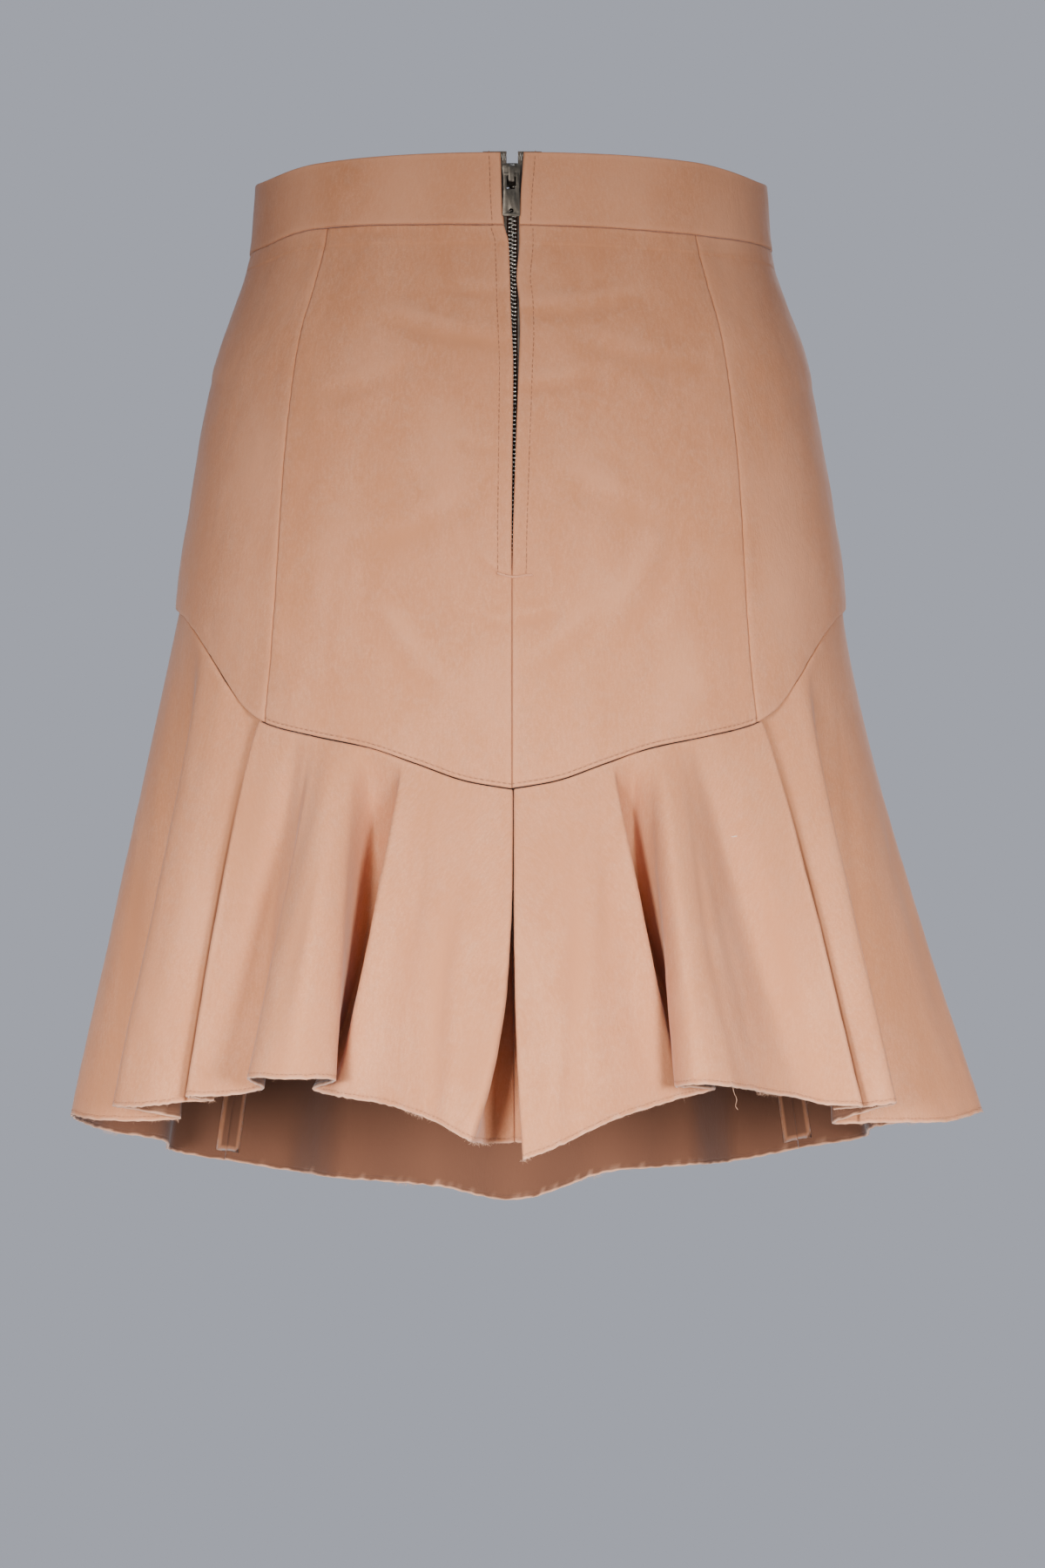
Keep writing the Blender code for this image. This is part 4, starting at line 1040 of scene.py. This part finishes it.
pleatEdges = {
    # side: folded edge, and which way the cloth beneath it lies
    "left": (foldedEdge(backLeft, -44.4), -1),
    "right": (foldedEdge(backRight, 44.4), 1),
}
pleatSettings = {
    "deepens": (-0.26, -0.34),  # heights between which the painted shade sets in
    "lineAway": 1.1 * mm, "line": 0.9,  # the painted shadow line along the edge
    "shade": -0.8, "shadeAway": 0.5 * mm, "shadeReach": (0.2 * mm, 5.0 * mm),
    "paleLine": (-1.2 * mm, 0.55, 1.1 * mm),  # a painted highlight on the edge itself: distance, tone, width
    "noLine": 30 * mm,
}


# Painted shade beside a pleat's folded edge, and a painted highlight on the edge itself: how far
# away the darkest line is, how dark it gets, and the tone round it.
def besideFold(name, shell):
    use = pleatSettings
    x, y, z = np.moveaxis(shell.points, -1, 0)
    none = np.zeros(z.shape)
    for side, ((edgeX, edgeZ), way) in pleatEdges.items():
        if not name.startswith("flounce") or not name.endswith(side):
            continue
        away = (x - np.interp(z, edgeZ, edgeX)) * way
        lower = ease(*use["deepens"], z) * (y < 0)
        if "side" in name:
            near = 1 - ease(*use["shadeReach"], abs(away + use["shadeAway"]))
            return away - use["lineAway"], use["line"] * lower, use["shade"] * lower * near
        return none + use["noLine"], none, lower * beside(away, *use["paleLine"])
    return none + use["noLine"], none, none


# Small paler places painted into the tone: piece, x and z (cm), half sizes (mm), tone, turn
# (degrees).
spotRows = [
    ("flounce_back_left", -11.9, -36.3, 9.0, 3.2, 0.55, -14),
    ("back_panel_right", 8.7, -24.0, 5.0, 3.0, 0.30, 20),
    ("back_panel_left", -5.6, -20.8, 11.0, 5.0, 0.25, -30),
    ("flounce_back_right", 4.6, -38.5, 6.0, 14.0, 0.30, 8),
    ("flounce_side_right", 18.5, -33.0, 7.0, 16.0, 0.30, 12),
    ("flounce_front", -6.5, -38.0, 8.0, 13.0, 0.30, 10),
    ("front_panel", 4.0, -14.5, 12.0, 6.0, 0.30, 20),
]


def spotTone(name, shell):
    total = np.zeros(shell.points.shape[:2])
    for piece, across, height, halfWidth, halfHeight, tone, turn in spotRows:
        if piece == name:
            along, over = turnedAxes(shell.points[..., 0], shell.points[..., 2], across, height,
                                     turn)
            total += tone * np.exp(-(along / (halfWidth * mm))**2 - (over / (halfHeight * mm))**2)
    return total


markSettings = {
    # how pale each kind of piece is beside the others
    "tones": {"waistband": 0.35, "back": 0.0, "side": 0.12, "front": 0.0, "flounce": -0.15},
    "rawEdge": 0.8, "rawReach": (0.2 * mm, 1.3 * mm),
    "rawUneven": (0.5, 0.01, 0.4),  # of its reach: waves' height and length, and the least
    "cloudy": 0.35, "cloudStretch": 1.6, "cloudLength": 0.09,
    "paleLine": (1.4 * mm, 0.35, 1.2 * mm),  # beside each seam: distance, tone, width
    "seam": -0.9, "seamReach": (0.1 * mm, 0.7 * mm),
    "noStitch": 12 * mm, "noBand": 30 * mm,  # farther than any line reaches
}


def rawEdgeMark(shell):
    use = markSettings
    swing, length, least = use["rawUneven"]
    uneven = 1 + swing * softWaves(shell.fromStart, shell.points[..., 2], length, 31)
    away = shell.fromFoot / np.maximum(least, uneven)
    return use["rawEdge"] * (1 - ease(*use["rawReach"], away))


def toneMark(name, shell):
    use = markSettings
    tone = use["cloudy"] * softWaves(shell.points[..., 0] * use["cloudStretch"],
                                     shell.points[..., 2], use["cloudLength"], 32)
    sewn = [shell.fromStart, shell.fromEnd, shell.fromTop]
    if not name.startswith("flounce"):
        sewn.append(shell.fromFoot)
    nearest = np.min(sewn, axis=0)
    tone += beside(nearest, *use["paleLine"])
    tone += use["seam"] * (1 - ease(*use["seamReach"], nearest))
    tone += use["tones"][name.split("_")[0]]
    return tone + spotTone(name, shell) + shell.paintedShading


def clothMarks(name, shell):
    use = markSettings
    none = np.zeros(shell.points.shape[:2])
    flounced = name.startswith("flounce")
    stitchAway = none + use["noStitch"]
    if flounced:
        stitchAway = shell.fromFoot - flounceSettings["stitchGroove"][0]
    elif not name.startswith(("side", "waist")):
        stitchAway = shell.fromFoot - yokeSettings["stitchGroove"][0]
    foldAway, paintedFoldShadow, pleatShadeAndHighlight = besideFold(name, shell)
    bandAway = shell.fromTop if "panel" in name else none + use["noBand"]
    return {"rawEdge": rawEdgeMark(shell) if flounced else none,
            "tone": np.clip(toneMark(name, shell) + pleatShadeAndHighlight, -1, 1),
            "bandAway": bandAway / mm, "stitchAway": stitchAway / mm,
            "foldAway": foldAway / mm, "paintedFoldShadow": paintedFoldShadow}


for clothName, clothShape in shells.items():
    made = shellPiece(clothName + "_cloth", clothShape, cotton, clothMarks(clothName, clothShape))
    finishPiece(made, clothName)


# The allowances pressed open behind the flounce's two side seams.
allowanceSettings = {"width": 6.5 * mm, "half": 0.25 * mm, "clear": 0.12 * mm, "above": 1.5 * mm}


def seamAllowance(name, before, after):
    use = allowanceSettings
    ends = []
    for shell, away in ((shells[before], "fromEnd"), (shells[after], "fromStart")):
        drop = clothHalf + shell.sink - shell.relief + use["clear"] + use["half"]
        behind = shell.points - shell.out * drop[..., None]
        ends.append(behind[getattr(shell, away).min(axis=1) < use["width"]])
    raised = shells[after].fromFoot[0] > use["above"]
    strip = Shell(np.concatenate(ends)[:, raised], use["half"], ("raw",) * 4)
    finishPiece(shellPiece(name, strip, cotton), None)


seamAllowance("seam_allowance_right", "flounce_side_right", "flounce_front")
seamAllowance("seam_allowance_left", "flounce_front", "flounce_side_left")


# Geometry Nodes: what repeats along a line
class LineTree(NodeMaker):
    def __init__(self, name, inputs):
        super().__init__(bpy.data.node_groups.new(name, "GeometryNodeTree"))
        face = self.tree.interface
        face.new_socket("Geometry", in_out="INPUT", socket_type="NodeSocketGeometry")
        kinds = {int: "NodeSocketInt", float: "NodeSocketFloat",
                 bpy.types.Material: "NodeSocketMaterial"}
        self.sockets = {key: face.new_socket(key, in_out="INPUT", socket_type=kinds[type(value)])
                        for key, value in inputs.items()}
        face.new_socket("Geometry", in_out="OUTPUT", socket_type="NodeSocketGeometry")
        self.values = inputs
        self.given = self.node("NodeGroupInput").outputs

    def onPoints(self, instance, rotation, scale):
        curve = self.node("GeometryNodeMeshToCurve", inputs={"Mesh": self.given["Geometry"]})
        spaced = self.node("GeometryNodeResampleCurve", {"mode": "LENGTH"}, {
            "Curve": curve.outputs["Curve"], "Length": self.given["Spacing"]})
        placed = self.node("GeometryNodeInstanceOnPoints", inputs={
            "Points": spaced.outputs["Curve"], "Instance": instance, "Rotation": rotation,
            "Scale": scale})
        real = self.node("GeometryNodeRealizeInstances", inputs={
            "Geometry": placed.outputs["Instances"]})
        rounded = self.node("GeometryNodeSetShadeSmooth", inputs={"Geometry": real.outputs[0]})
        painted = self.node("GeometryNodeSetMaterial", inputs={
            "Geometry": rounded.outputs[0], "Material": self.given["Material"]})
        self.node("NodeGroupOutput", inputs={"Geometry": painted.outputs[0]})

    def sized(self, shape, *lengths):
        sizes = self.node("ShaderNodeCombineXYZ", inputs={
            axis: self.given[length] for axis, length in zip("XYZ", lengths)})
        return self.node("GeometryNodeTransform", inputs={
            "Geometry": shape.outputs["Mesh"], "Scale": sizes.outputs[0]}).outputs[0]

    def aligned(self, axis, vector):
        return self.node("FunctionNodeAlignRotationToVector", {"axis": axis}, {
            "Vector": vector}).outputs["Rotation"]

    def random(self, low, high, seedShift=0.0):
        seed = self.maths("ADD", self.given["Seed"], seedShift)
        return self.node("FunctionNodeRandomValue", {"data_type": "FLOAT_VECTOR"}, {
            0: low, 1: high, "Seed": seed}).outputs[0]

    def build(self, name, lines):
        places, edges = [], []
        for line in lines:
            edges += [(len(places) + i, len(places) + i + 1) for i in range(len(line) - 1)]
            places += [tuple(point) for point in line]
        mesh = bpy.data.meshes.new(name + " line")
        mesh.from_pydata(places, edges, [])
        carrier = addObject(name + " line", mesh)
        modifier = carrier.modifiers.new("repeat", "NODES")
        modifier.node_group = self.tree
        for key, value in self.values.items():
            modifier[self.sockets[key].identifier] = value
        bpy.context.view_layer.update()
        evaluated = carrier.evaluated_get(bpy.context.evaluated_depsgraph_get())
        made = bpy.data.meshes.new_from_object(evaluated)
        carrier.modifiers.remove(modifier)
        bpy.data.objects.remove(carrier)
        print(name, "made:", len(made.polygons), "faces")
        return addObject(name, made)


# Stitches: small swellings of thread, half sunk in the cloth.
stitchSettings = {
    # spacing, length and width
    "top": (2.7 * mm, 2.2 * mm, 0.46 * mm),
    "hem": (2.3 * mm, 1.9 * mm, 0.34 * mm),
    "lift": 0.03 * mm,
    "zipFoot": -18.85 * cm,
}


def stitchTree(name, size, seed):
    spacing, length, width = size
    tree = LineTree(name, {"Spacing": spacing, "Length": length, "Width": width,
                           "Seed": seed, "Material": seamThread})
    ball = tree.node("GeometryNodeMeshUVSphere", inputs={
        "Segments": 6, "Rings": 5, "Radius": 0.5})
    stitch = tree.sized(ball, "Length", "Width", "Width")
    tangent = tree.node("GeometryNodeInputTangent").outputs["Tangent"]
    tree.onPoints(stitch, tree.aligned("X", tangent),
                  tree.random((0.86, 0.8, 0.8), (1.04, 1.15, 1.15)))
    return tree


# Lines of stitches along their grooves, each less a few points at its ends.
def stitchLine(name, edge, settings, key="stitchGroove", trim=3):
    line = shells[name].lineFrom(edge, settings[key][0], stitchSettings["lift"])
    return line[trim:len(line) - trim]


def stitching():
    use = stitchSettings
    topLines = [stitchLine(name, "foot", yokeSettings)
                for name in ("back_panel_right", "back_panel_left", "front_panel")]
    for name, edge in (("back_panel_right", "start"), ("back_panel_left", "end")):
        line = stitchLine(name, edge, yokeSettings, "zipGroove", 0)
        topLines.append(line[line[:, 2] > use["zipFoot"]])
    topLines += [stitchLine("waistband", edge, bandSettings, trim=2) for edge in ("start", "end")]
    hemLines = [stitchLine(name, "foot", flounceSettings)
                for name in shells if name.startswith("flounce")]
    for name, size, seed, lines in (("top_stitching", use["top"], 5, topLines),
                                    ("hem_stitching", use["hem"], 6, hemLines)):
        made = stitchTree(name + "_tree", size, seed).build(name, lines)
        finishPiece(made, None)


stitching()


# Single threads: the bar tack under the zip, the ends of stitching at the tapes' tops, a loose
# end at the hem and a fleck of lint. Each end of a thread is thinner.
def threadPiece(name, lines, radius, material, sides=6):
    places, faces = [], []
    for line in lines:
        line = np.asarray(line, float)
        tangent = np.gradient(line, axis=0)
        tangent /= np.linalg.norm(tangent, axis=1, keepdims=True)
        across = np.cross(tangent, (0.13, 0.97, 0.21))
        across /= np.linalg.norm(across, axis=1, keepdims=True)
        up = np.cross(tangent, across)
        start, count = len(places), len(line)
        for i, middle in enumerate(line):
            slim = radius * (0.35 if i in (0, count - 1) else 1)
            for turn in 2 * math.pi * np.arange(sides) / sides:
                ring = math.cos(turn) * across[i] + math.sin(turn) * up[i]
                places.append(tuple(middle + slim * ring))
        rings = start + np.arange(count * sides).reshape(count, sides)
        turned = np.roll(rings, -1, axis=1)
        quads = np.stack([rings[:-1], rings[1:], turned[1:], turned[:-1]], -1)
        faces += quads.reshape(-1, 4).tolist() + [rings[0].tolist(), rings[-1, ::-1].tolist()]
    piece = meshObject(name, places, faces, material)
    piece.data.shade_smooth()
    finishPiece(piece, None)
    print(name, "made:", len(faces), "faces")


def throughPoints(points, count):
    points = np.asarray(points, float)
    knots = np.arange(len(points), dtype=float)
    return flowing(knots, points, np.linspace(0, len(points) - 1, count))


# Points on the outer face of the back at x and z (cm), lifted.
def onBack(rows, lift):
    rows = np.asarray(rows, float) * cm
    return onBody(angleAt(rows[:, 0], rows[:, 1]), rows[:, 1], -(clothHalf + lift))


tackSettings = {
    "line": [(-0.62, -18.80), (-0.40, -18.87), (-0.10, -18.94), (0.15, -18.98), (0.40, -18.96),
             (0.70, -18.90), (1.04, -18.90)],
    "lift": 0.25 * mm, "radius": 0.42 * mm, "swing": 0.25 * mm, "turns": 11, "points": 120,
}


def barTack():
    use = tackSettings
    middle = throughPoints(onBack(use["line"], use["lift"]), use["points"])
    turn = np.linspace(0, 2 * math.pi * use["turns"], use["points"])
    strands = [middle + use["swing"] * np.stack([
        0 * turn, -np.sin(turn + phase), np.cos(turn + phase)], -1) for phase in (0.0, math.pi)]
    threadPiece("bar_tack", strands, use["radius"], paleThread)


tapeEndSettings = {
    "starts": ((-0.20, -1), (0.34, 1)),  # x (cm), and which way the zigzag runs from it
    "xs": np.array([0.0, 0.06, 0.12, 0.18, 0.24, 0.30]),
    "zs": np.array([1.72, 1.42, 1.74, 1.40, 1.70, 1.46]),
    "radius": 0.21 * mm, "lift": 0.2 * mm, "height": 1.5 * cm,
}


def tapeEnds():
    use = tapeEndSettings
    tapeFace = float(onBody(0.0, use["height"], clothHalf + zipGap)[1])
    rows = [np.stack([(start + way * use["xs"]) * cm, 0 * use["xs"] + tapeFace - use["lift"],
                      use["zs"] * cm], -1) for start, way in use["starts"]]
    threadPiece("tape_end_threads", rows, use["radius"], whiteThread)


barTack()
tapeEnds()


# The outer face's point nearest to x and z (cm), on the side nearest to the camera's.
def nearShell(name, x, z, lift):
    outer = shells[name].outerPoints(lift).reshape(-1, 3)
    near = np.hypot(outer[:, 0] - x * cm, outer[:, 2] - z * cm)
    close = outer[near < near.min() + 2 * mm]
    return close[np.argmin(close[:, 1])]


# Where the raw hem has frayed most: piece, from which x to which (cm), and 1 for its far side.
tuftRows = [
    ("flounce_side_left", -18.6, -15.9, -1), ("flounce_back_left", -15.3, -13.2, -1),
    ("flounce_back_left", -5.2, -3.6, -1), ("flounce_back_left", -2.4, -0.6, -1),
    ("flounce_back_right", 0.0, 1.4, -1), ("flounce_back_right", 11.2, 12.9, -1),
    ("flounce_side_right", 16.8, 18.2, -1), ("flounce_front", -6.5, -4.6, 1),
    ("flounce_front", 3.2, 5.4, 1), ("flounce_side_right", 19.5, 21.5, 1),
    ("flounce_side_left", -21.0, -19.4, 1),
]


tuftSettings = {
    "edgeLift": 0.3 * mm,
    "fibres": 46, "length": (1.1 * mm, 3.1 * mm), "radius": 0.055 * mm,
    "spread": 0.22,  # of the fibres along a tuft, as a share of it
    "lean": ((-1.1, -0.6, -1.0), (1.1, 0.6, -0.3)),
    "curl": 0.35,
}


def tuftFibres(edge, draw):
    use = tuftSettings
    fibres = []
    for _ in range(use["fibres"]):
        share = float(np.clip(draw.normal(0.5, use["spread"]), 0, 1))
        at = share * (len(edge) - 1)
        here, after = edge[int(at)], edge[min(int(at) + 1, len(edge) - 1)]
        root = here + (after - here) * (at % 1)
        length = draw.uniform(*use["length"]) * (0.5 + math.sin(math.pi * share) / 2)
        lean = draw.uniform(*use["lean"])
        lean /= np.linalg.norm(lean)
        curl = draw.uniform(-use["curl"], use["curl"], 3) * length
        fibres.append([root, root + lean * length * 0.5 + curl * 0.5, root + lean * length])
    return fibres


def hemTufts():
    draw = np.random.default_rng(41)
    fibres = []
    for name, low, high, way in tuftRows:
        edge = shells[name].lineFrom("foot", tuftSettings["edgeLift"])
        x, y = edge[:, 0], edge[:, 1]
        fibres += tuftFibres(edge[(x > low * cm) & (x < high * cm) & (y * way > 0)], draw)
    threadPiece("hem_tufts", fibres, tuftSettings["radius"], hemFibre, 3)


looseSettings = {
    "lint": [(10.80, -31.30), (10.88, -31.22), (10.97, -31.24), (11.00, -31.33)],
    "lintLift": 0.2 * mm, "lintRadius": 0.16 * mm, "lintPoints": 9,
    "endAt": (10.6, -42.9),
    "end": [(0, 0, 1.0), (0.6, -0.8, -3.0), (1.9, -1.2, -6.5), (1.4, -0.6, -9.5),
            (2.6, -0.2, -11.5)],
    "endRadius": 0.10 * mm, "endPoints": 24,
}


def looseThreads():
    use, name = looseSettings, "flounce_back_right"
    lint = [nearShell(name, x, z, use["lintLift"]) for x, z in use["lint"]]
    threadPiece("lint_fleck", [throughPoints(lint, use["lintPoints"])], use["lintRadius"],
                whiteThread, 5)
    end = nearShell(name, *use["endAt"], 0.0) + np.array(use["end"]) * mm
    threadPiece("loose_thread", [throughPoints(end, use["endPoints"])], use["endRadius"],
                hemFibre, 5)


hemTufts()
looseThreads()


# The raw hem: short loose fibres, and a few longer ones.
fraySettings = {
    # spacing, length and radius
    "short": (0.42 * mm, 0.9 * mm, 0.045 * mm),
    "long": (11 * mm, 2.6 * mm, 0.05 * mm),
    "edgeLift": 0.1 * mm,
}


def frayTree(name, size, seed):
    spacing, length, radius = size
    tree = LineTree(name, {"Spacing": spacing, "Length": length, "Radius": radius,
                           "Seed": seed, "Material": hemFibre})
    strand = tree.node("GeometryNodeMeshCone", inputs={
        "Vertices": 3, "Side Segments": 2, "Radius Top": 0.0,
        "Radius Bottom": tree.given["Radius"], "Depth": tree.given["Length"]})
    direction = tree.random((-0.9, -0.75, -1.0), (0.9, 0.75, -0.35), 1.0)
    tree.onPoints(strand.outputs["Mesh"], tree.aligned("Z", direction),
                  tree.random((0.7, 0.7, 0.35), (1.2, 1.2, 1.15), 2.0))
    return tree


def frayedHem():
    use = fraySettings
    lines = [shells[name].lineFrom("foot", use["edgeLift"])[2:-2]
             for name in shells if name.startswith("flounce")]
    for name, size, seed in (("hem_fibres", use["short"], 8), ("hem_long_fibres", use["long"], 9)):
        fibres = frayTree(name + "_tree", size, seed).build(name, lines)
        finishPiece(fibres, None)


frayedHem()


# Zip
zipSettings = {
    "x": 0.07 * cm,
    "chainWidth": 4.8 * mm, "chainTop": 0.70 * cm, "chainFoot": -18.05 * cm,
    "chainDepth": clothHalf + zipGap + 1.0 * mm,
    "tapeWidth": 11.5 * mm, "tapeThickness": 1.0 * mm, "tapeTop": 1.86 * cm,
    "tapeFoot": -19.60 * cm, "tapeDepth": clothHalf + zipGap + 0.5 * mm,
    "tapeCut": (0.0115, 0.2147),
    "tapeSteps": (1.2 * mm, 3 * mm), "tapePoints": 400,
    "rib": 2.3 * mm, "ribLow": 0.78,  # the tape's thickness between its ribs, as a share
    "rows": 9,
}


# A line down the inside of the back at one x, flat between the yoke's rows as the solids are.
def zipLine(x, top, foot, depth, count):
    yokeTop = float(bandEdge(0, 2)) - zipGap / 2
    yokeFoot = float(yokeSeam(0)) + zipGap / 2
    rows = np.linspace(yokeFoot, yokeTop, zipSettings["rows"] + 1)
    rows = np.append(rows, zipSettings["tapeTop"])
    ys = onBody(angleAt(x, rows), rows, depth)[:, 1]
    height = np.linspace(top, foot, count)
    return np.stack([np.full(count, x), np.interp(height, rows, ys), height], -1)


def makeTape(side):
    use = zipSettings
    inner = use["chainWidth"] / 2 + zipGap
    outer = inner + use["tapeWidth"]
    low, high = (-outer, -inner) if side == "left" else (inner, outer)
    acrossStep, downStep = use["tapeSteps"]
    down = edgedShares(use["tapeTop"] - use["tapeFoot"], downStep)
    at = np.linspace(0, 1, use["tapePoints"])
    lines = []
    for share in edgedShares(use["tapeWidth"], acrossStep):
        line = zipLine(use["x"] + low + (high - low) * share, use["tapeTop"], use["tapeFoot"],
                       use["tapeDepth"], use["tapePoints"])
        lines.append(np.stack([np.interp(down, at, line[:, k]) for k in range(3)], -1))
    shell = Shell(np.array(lines), use["tapeThickness"] / 2, ("selvedge",) * 4)
    ribs = 0.5 + 0.5 * np.cos(shell.fromStart * 2 * math.pi / use["rib"])
    shell.thick *= use["ribLow"] + (1 - use["ribLow"]) * ribs
    return shell


for tapeSide in ("left", "right"):
    tapeName = "zip_tape_" + tapeSide
    tapePiece = finishPiece(shellPiece(tapeName + "_cloth", makeTape(tapeSide), tapeCloth),
                            tapeName)


toothSettings = {
    "pitch": 2.05 * mm,
    "reach": 1.35 * mm, "depth": 0.95 * mm, "height": 0.40 * mm,
    "jaw": (1.3 * mm, 1.6 * mm, 0.78 * mm), "jawAway": 0.95 * mm,
    "away": 0.55 * mm,  # from the middle of the chain
    "fromTop": 0.7 * mm, "fromFoot": 0.6 * mm, "linePoints": 300,
    "gapShadowWidth": 3.0 * mm, "gapShadowThickness": 0.7 * mm, "gapShadowDeeper": 0.35 * mm, "gapShadowPoints": 60,
}


# One side's teeth. Each has a rounded head, and a jaw that grips the tape.
def toothTree(side, way):
    use = toothSettings
    tree = LineTree("zip teeth " + side, {
        "Spacing": use["pitch"], "Reach": use["reach"], "Depth": use["depth"],
        "Height": use["height"], "Seed": 12, "Material": brightMetal})
    ball = tree.node("GeometryNodeMeshUVSphere", inputs={
        "Segments": 8, "Rings": 6, "Radius": 1.0})
    head = tree.sized(ball, "Reach", "Depth", "Height")
    jaw = tree.node("GeometryNodeMeshCube", inputs={"Size": use["jaw"]})
    placed = tree.node("GeometryNodeTransform", inputs={
        "Geometry": jaw.outputs["Mesh"], "Translation": (way * use["jawAway"], 0.0, 0.0)})
    both = tree.node("GeometryNodeJoinGeometry")
    tree.feed(both, {0: head})
    tree.feed(both, {0: placed.outputs[0]})
    tree.onPoints(both.outputs[0], (0.0, 0.0, 0.0),
                  tree.random((0.97, 0.96, 0.94), (1.02, 1.03, 1.04)))
    return tree


# A flat strip down a line, four-sided.
def stripPiece(name, line, width, thickness, material):
    corners = [(-0.5, -0.5), (0.5, -0.5), (0.5, 0.5), (-0.5, 0.5)]
    places = [(x + dx * width, y + dy * thickness, z) for x, y, z in line for dx, dy in corners]
    count = len(line)
    faces = [(4 * i + k, 4 * i + (k + 1) % 4, 4 * i + 4 + (k + 1) % 4, 4 * i + 4 + k)
             for i in range(count - 1) for k in range(4)]
    faces += [(3, 2, 1, 0), tuple(4 * count - 4 + k for k in range(4))]
    return meshObject(name, places, faces, material)


def makeTeeth():
    use, depth = toothSettings, zipSettings["chainDepth"]
    for side, way, shift in (("left", -1, 0.0), ("right", 1, use["pitch"] / 2)):
        line = zipLine(zipSettings["x"] + way * use["away"],
                       zipSettings["chainTop"] - use["fromTop"] - shift,
                       zipSettings["chainFoot"] + use["fromFoot"], depth, use["linePoints"])
        teeth = toothTree(side, way).build("zip_teeth_" + side, [line])
        finishPiece(teeth, "zip_chain")
    # A near-black strip behind the teeth, a painted shadow for the gaps between them.
    gapShadowLine = zipLine(zipSettings["x"], zipSettings["chainTop"], zipSettings["chainFoot"],
                   depth + use["gapShadowDeeper"], use["gapShadowPoints"])
    strip = stripPiece("zip_gap_shadow", gapShadowLine, use["gapShadowWidth"], use["gapShadowThickness"], gapShadowMetal)
    finishPiece(strip, "zip_chain")


makeTeeth()


# Rigid parts of the zip: the CAD shapes with softened edges.
softenSettings = {"merge": 0.002 * mm, "flat": math.radians(1), "sharp": math.radians(35)}


def softened(node, name, width, material, body):
    use = softenSettings
    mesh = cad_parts[node].data.copy()
    work = bmesh.new()
    work.from_mesh(mesh)
    bmesh.ops.remove_doubles(work, verts=work.verts, dist=use["merge"])
    bmesh.ops.dissolve_limit(work, angle_limit=use["flat"], verts=work.verts, edges=work.edges)
    work.to_mesh(mesh)
    work.free()
    mesh.shade_smooth()
    mesh.materials.clear()
    mesh.materials.append(material)
    piece = addObject(name, mesh)
    bevel = piece.modifiers.new("soft edges", "BEVEL")
    bevel.width, bevel.segments, bevel.limit_method = width, 2, "ANGLE"
    bevel.angle_limit = use["sharp"]
    bevel.harden_normals = True
    finishPiece(piece, node, body)


softened("zip_slider", "zip_slider_metal", 0.14 * mm, darkMetal, "skirt")
softened("zip_pull", "zip_pull_metal", 0.18 * mm, darkMetal, "pull")
softened("zip_stop", "zip_stop_metal", 0.25 * mm, brightMetal, "skirt")
print("zip made")
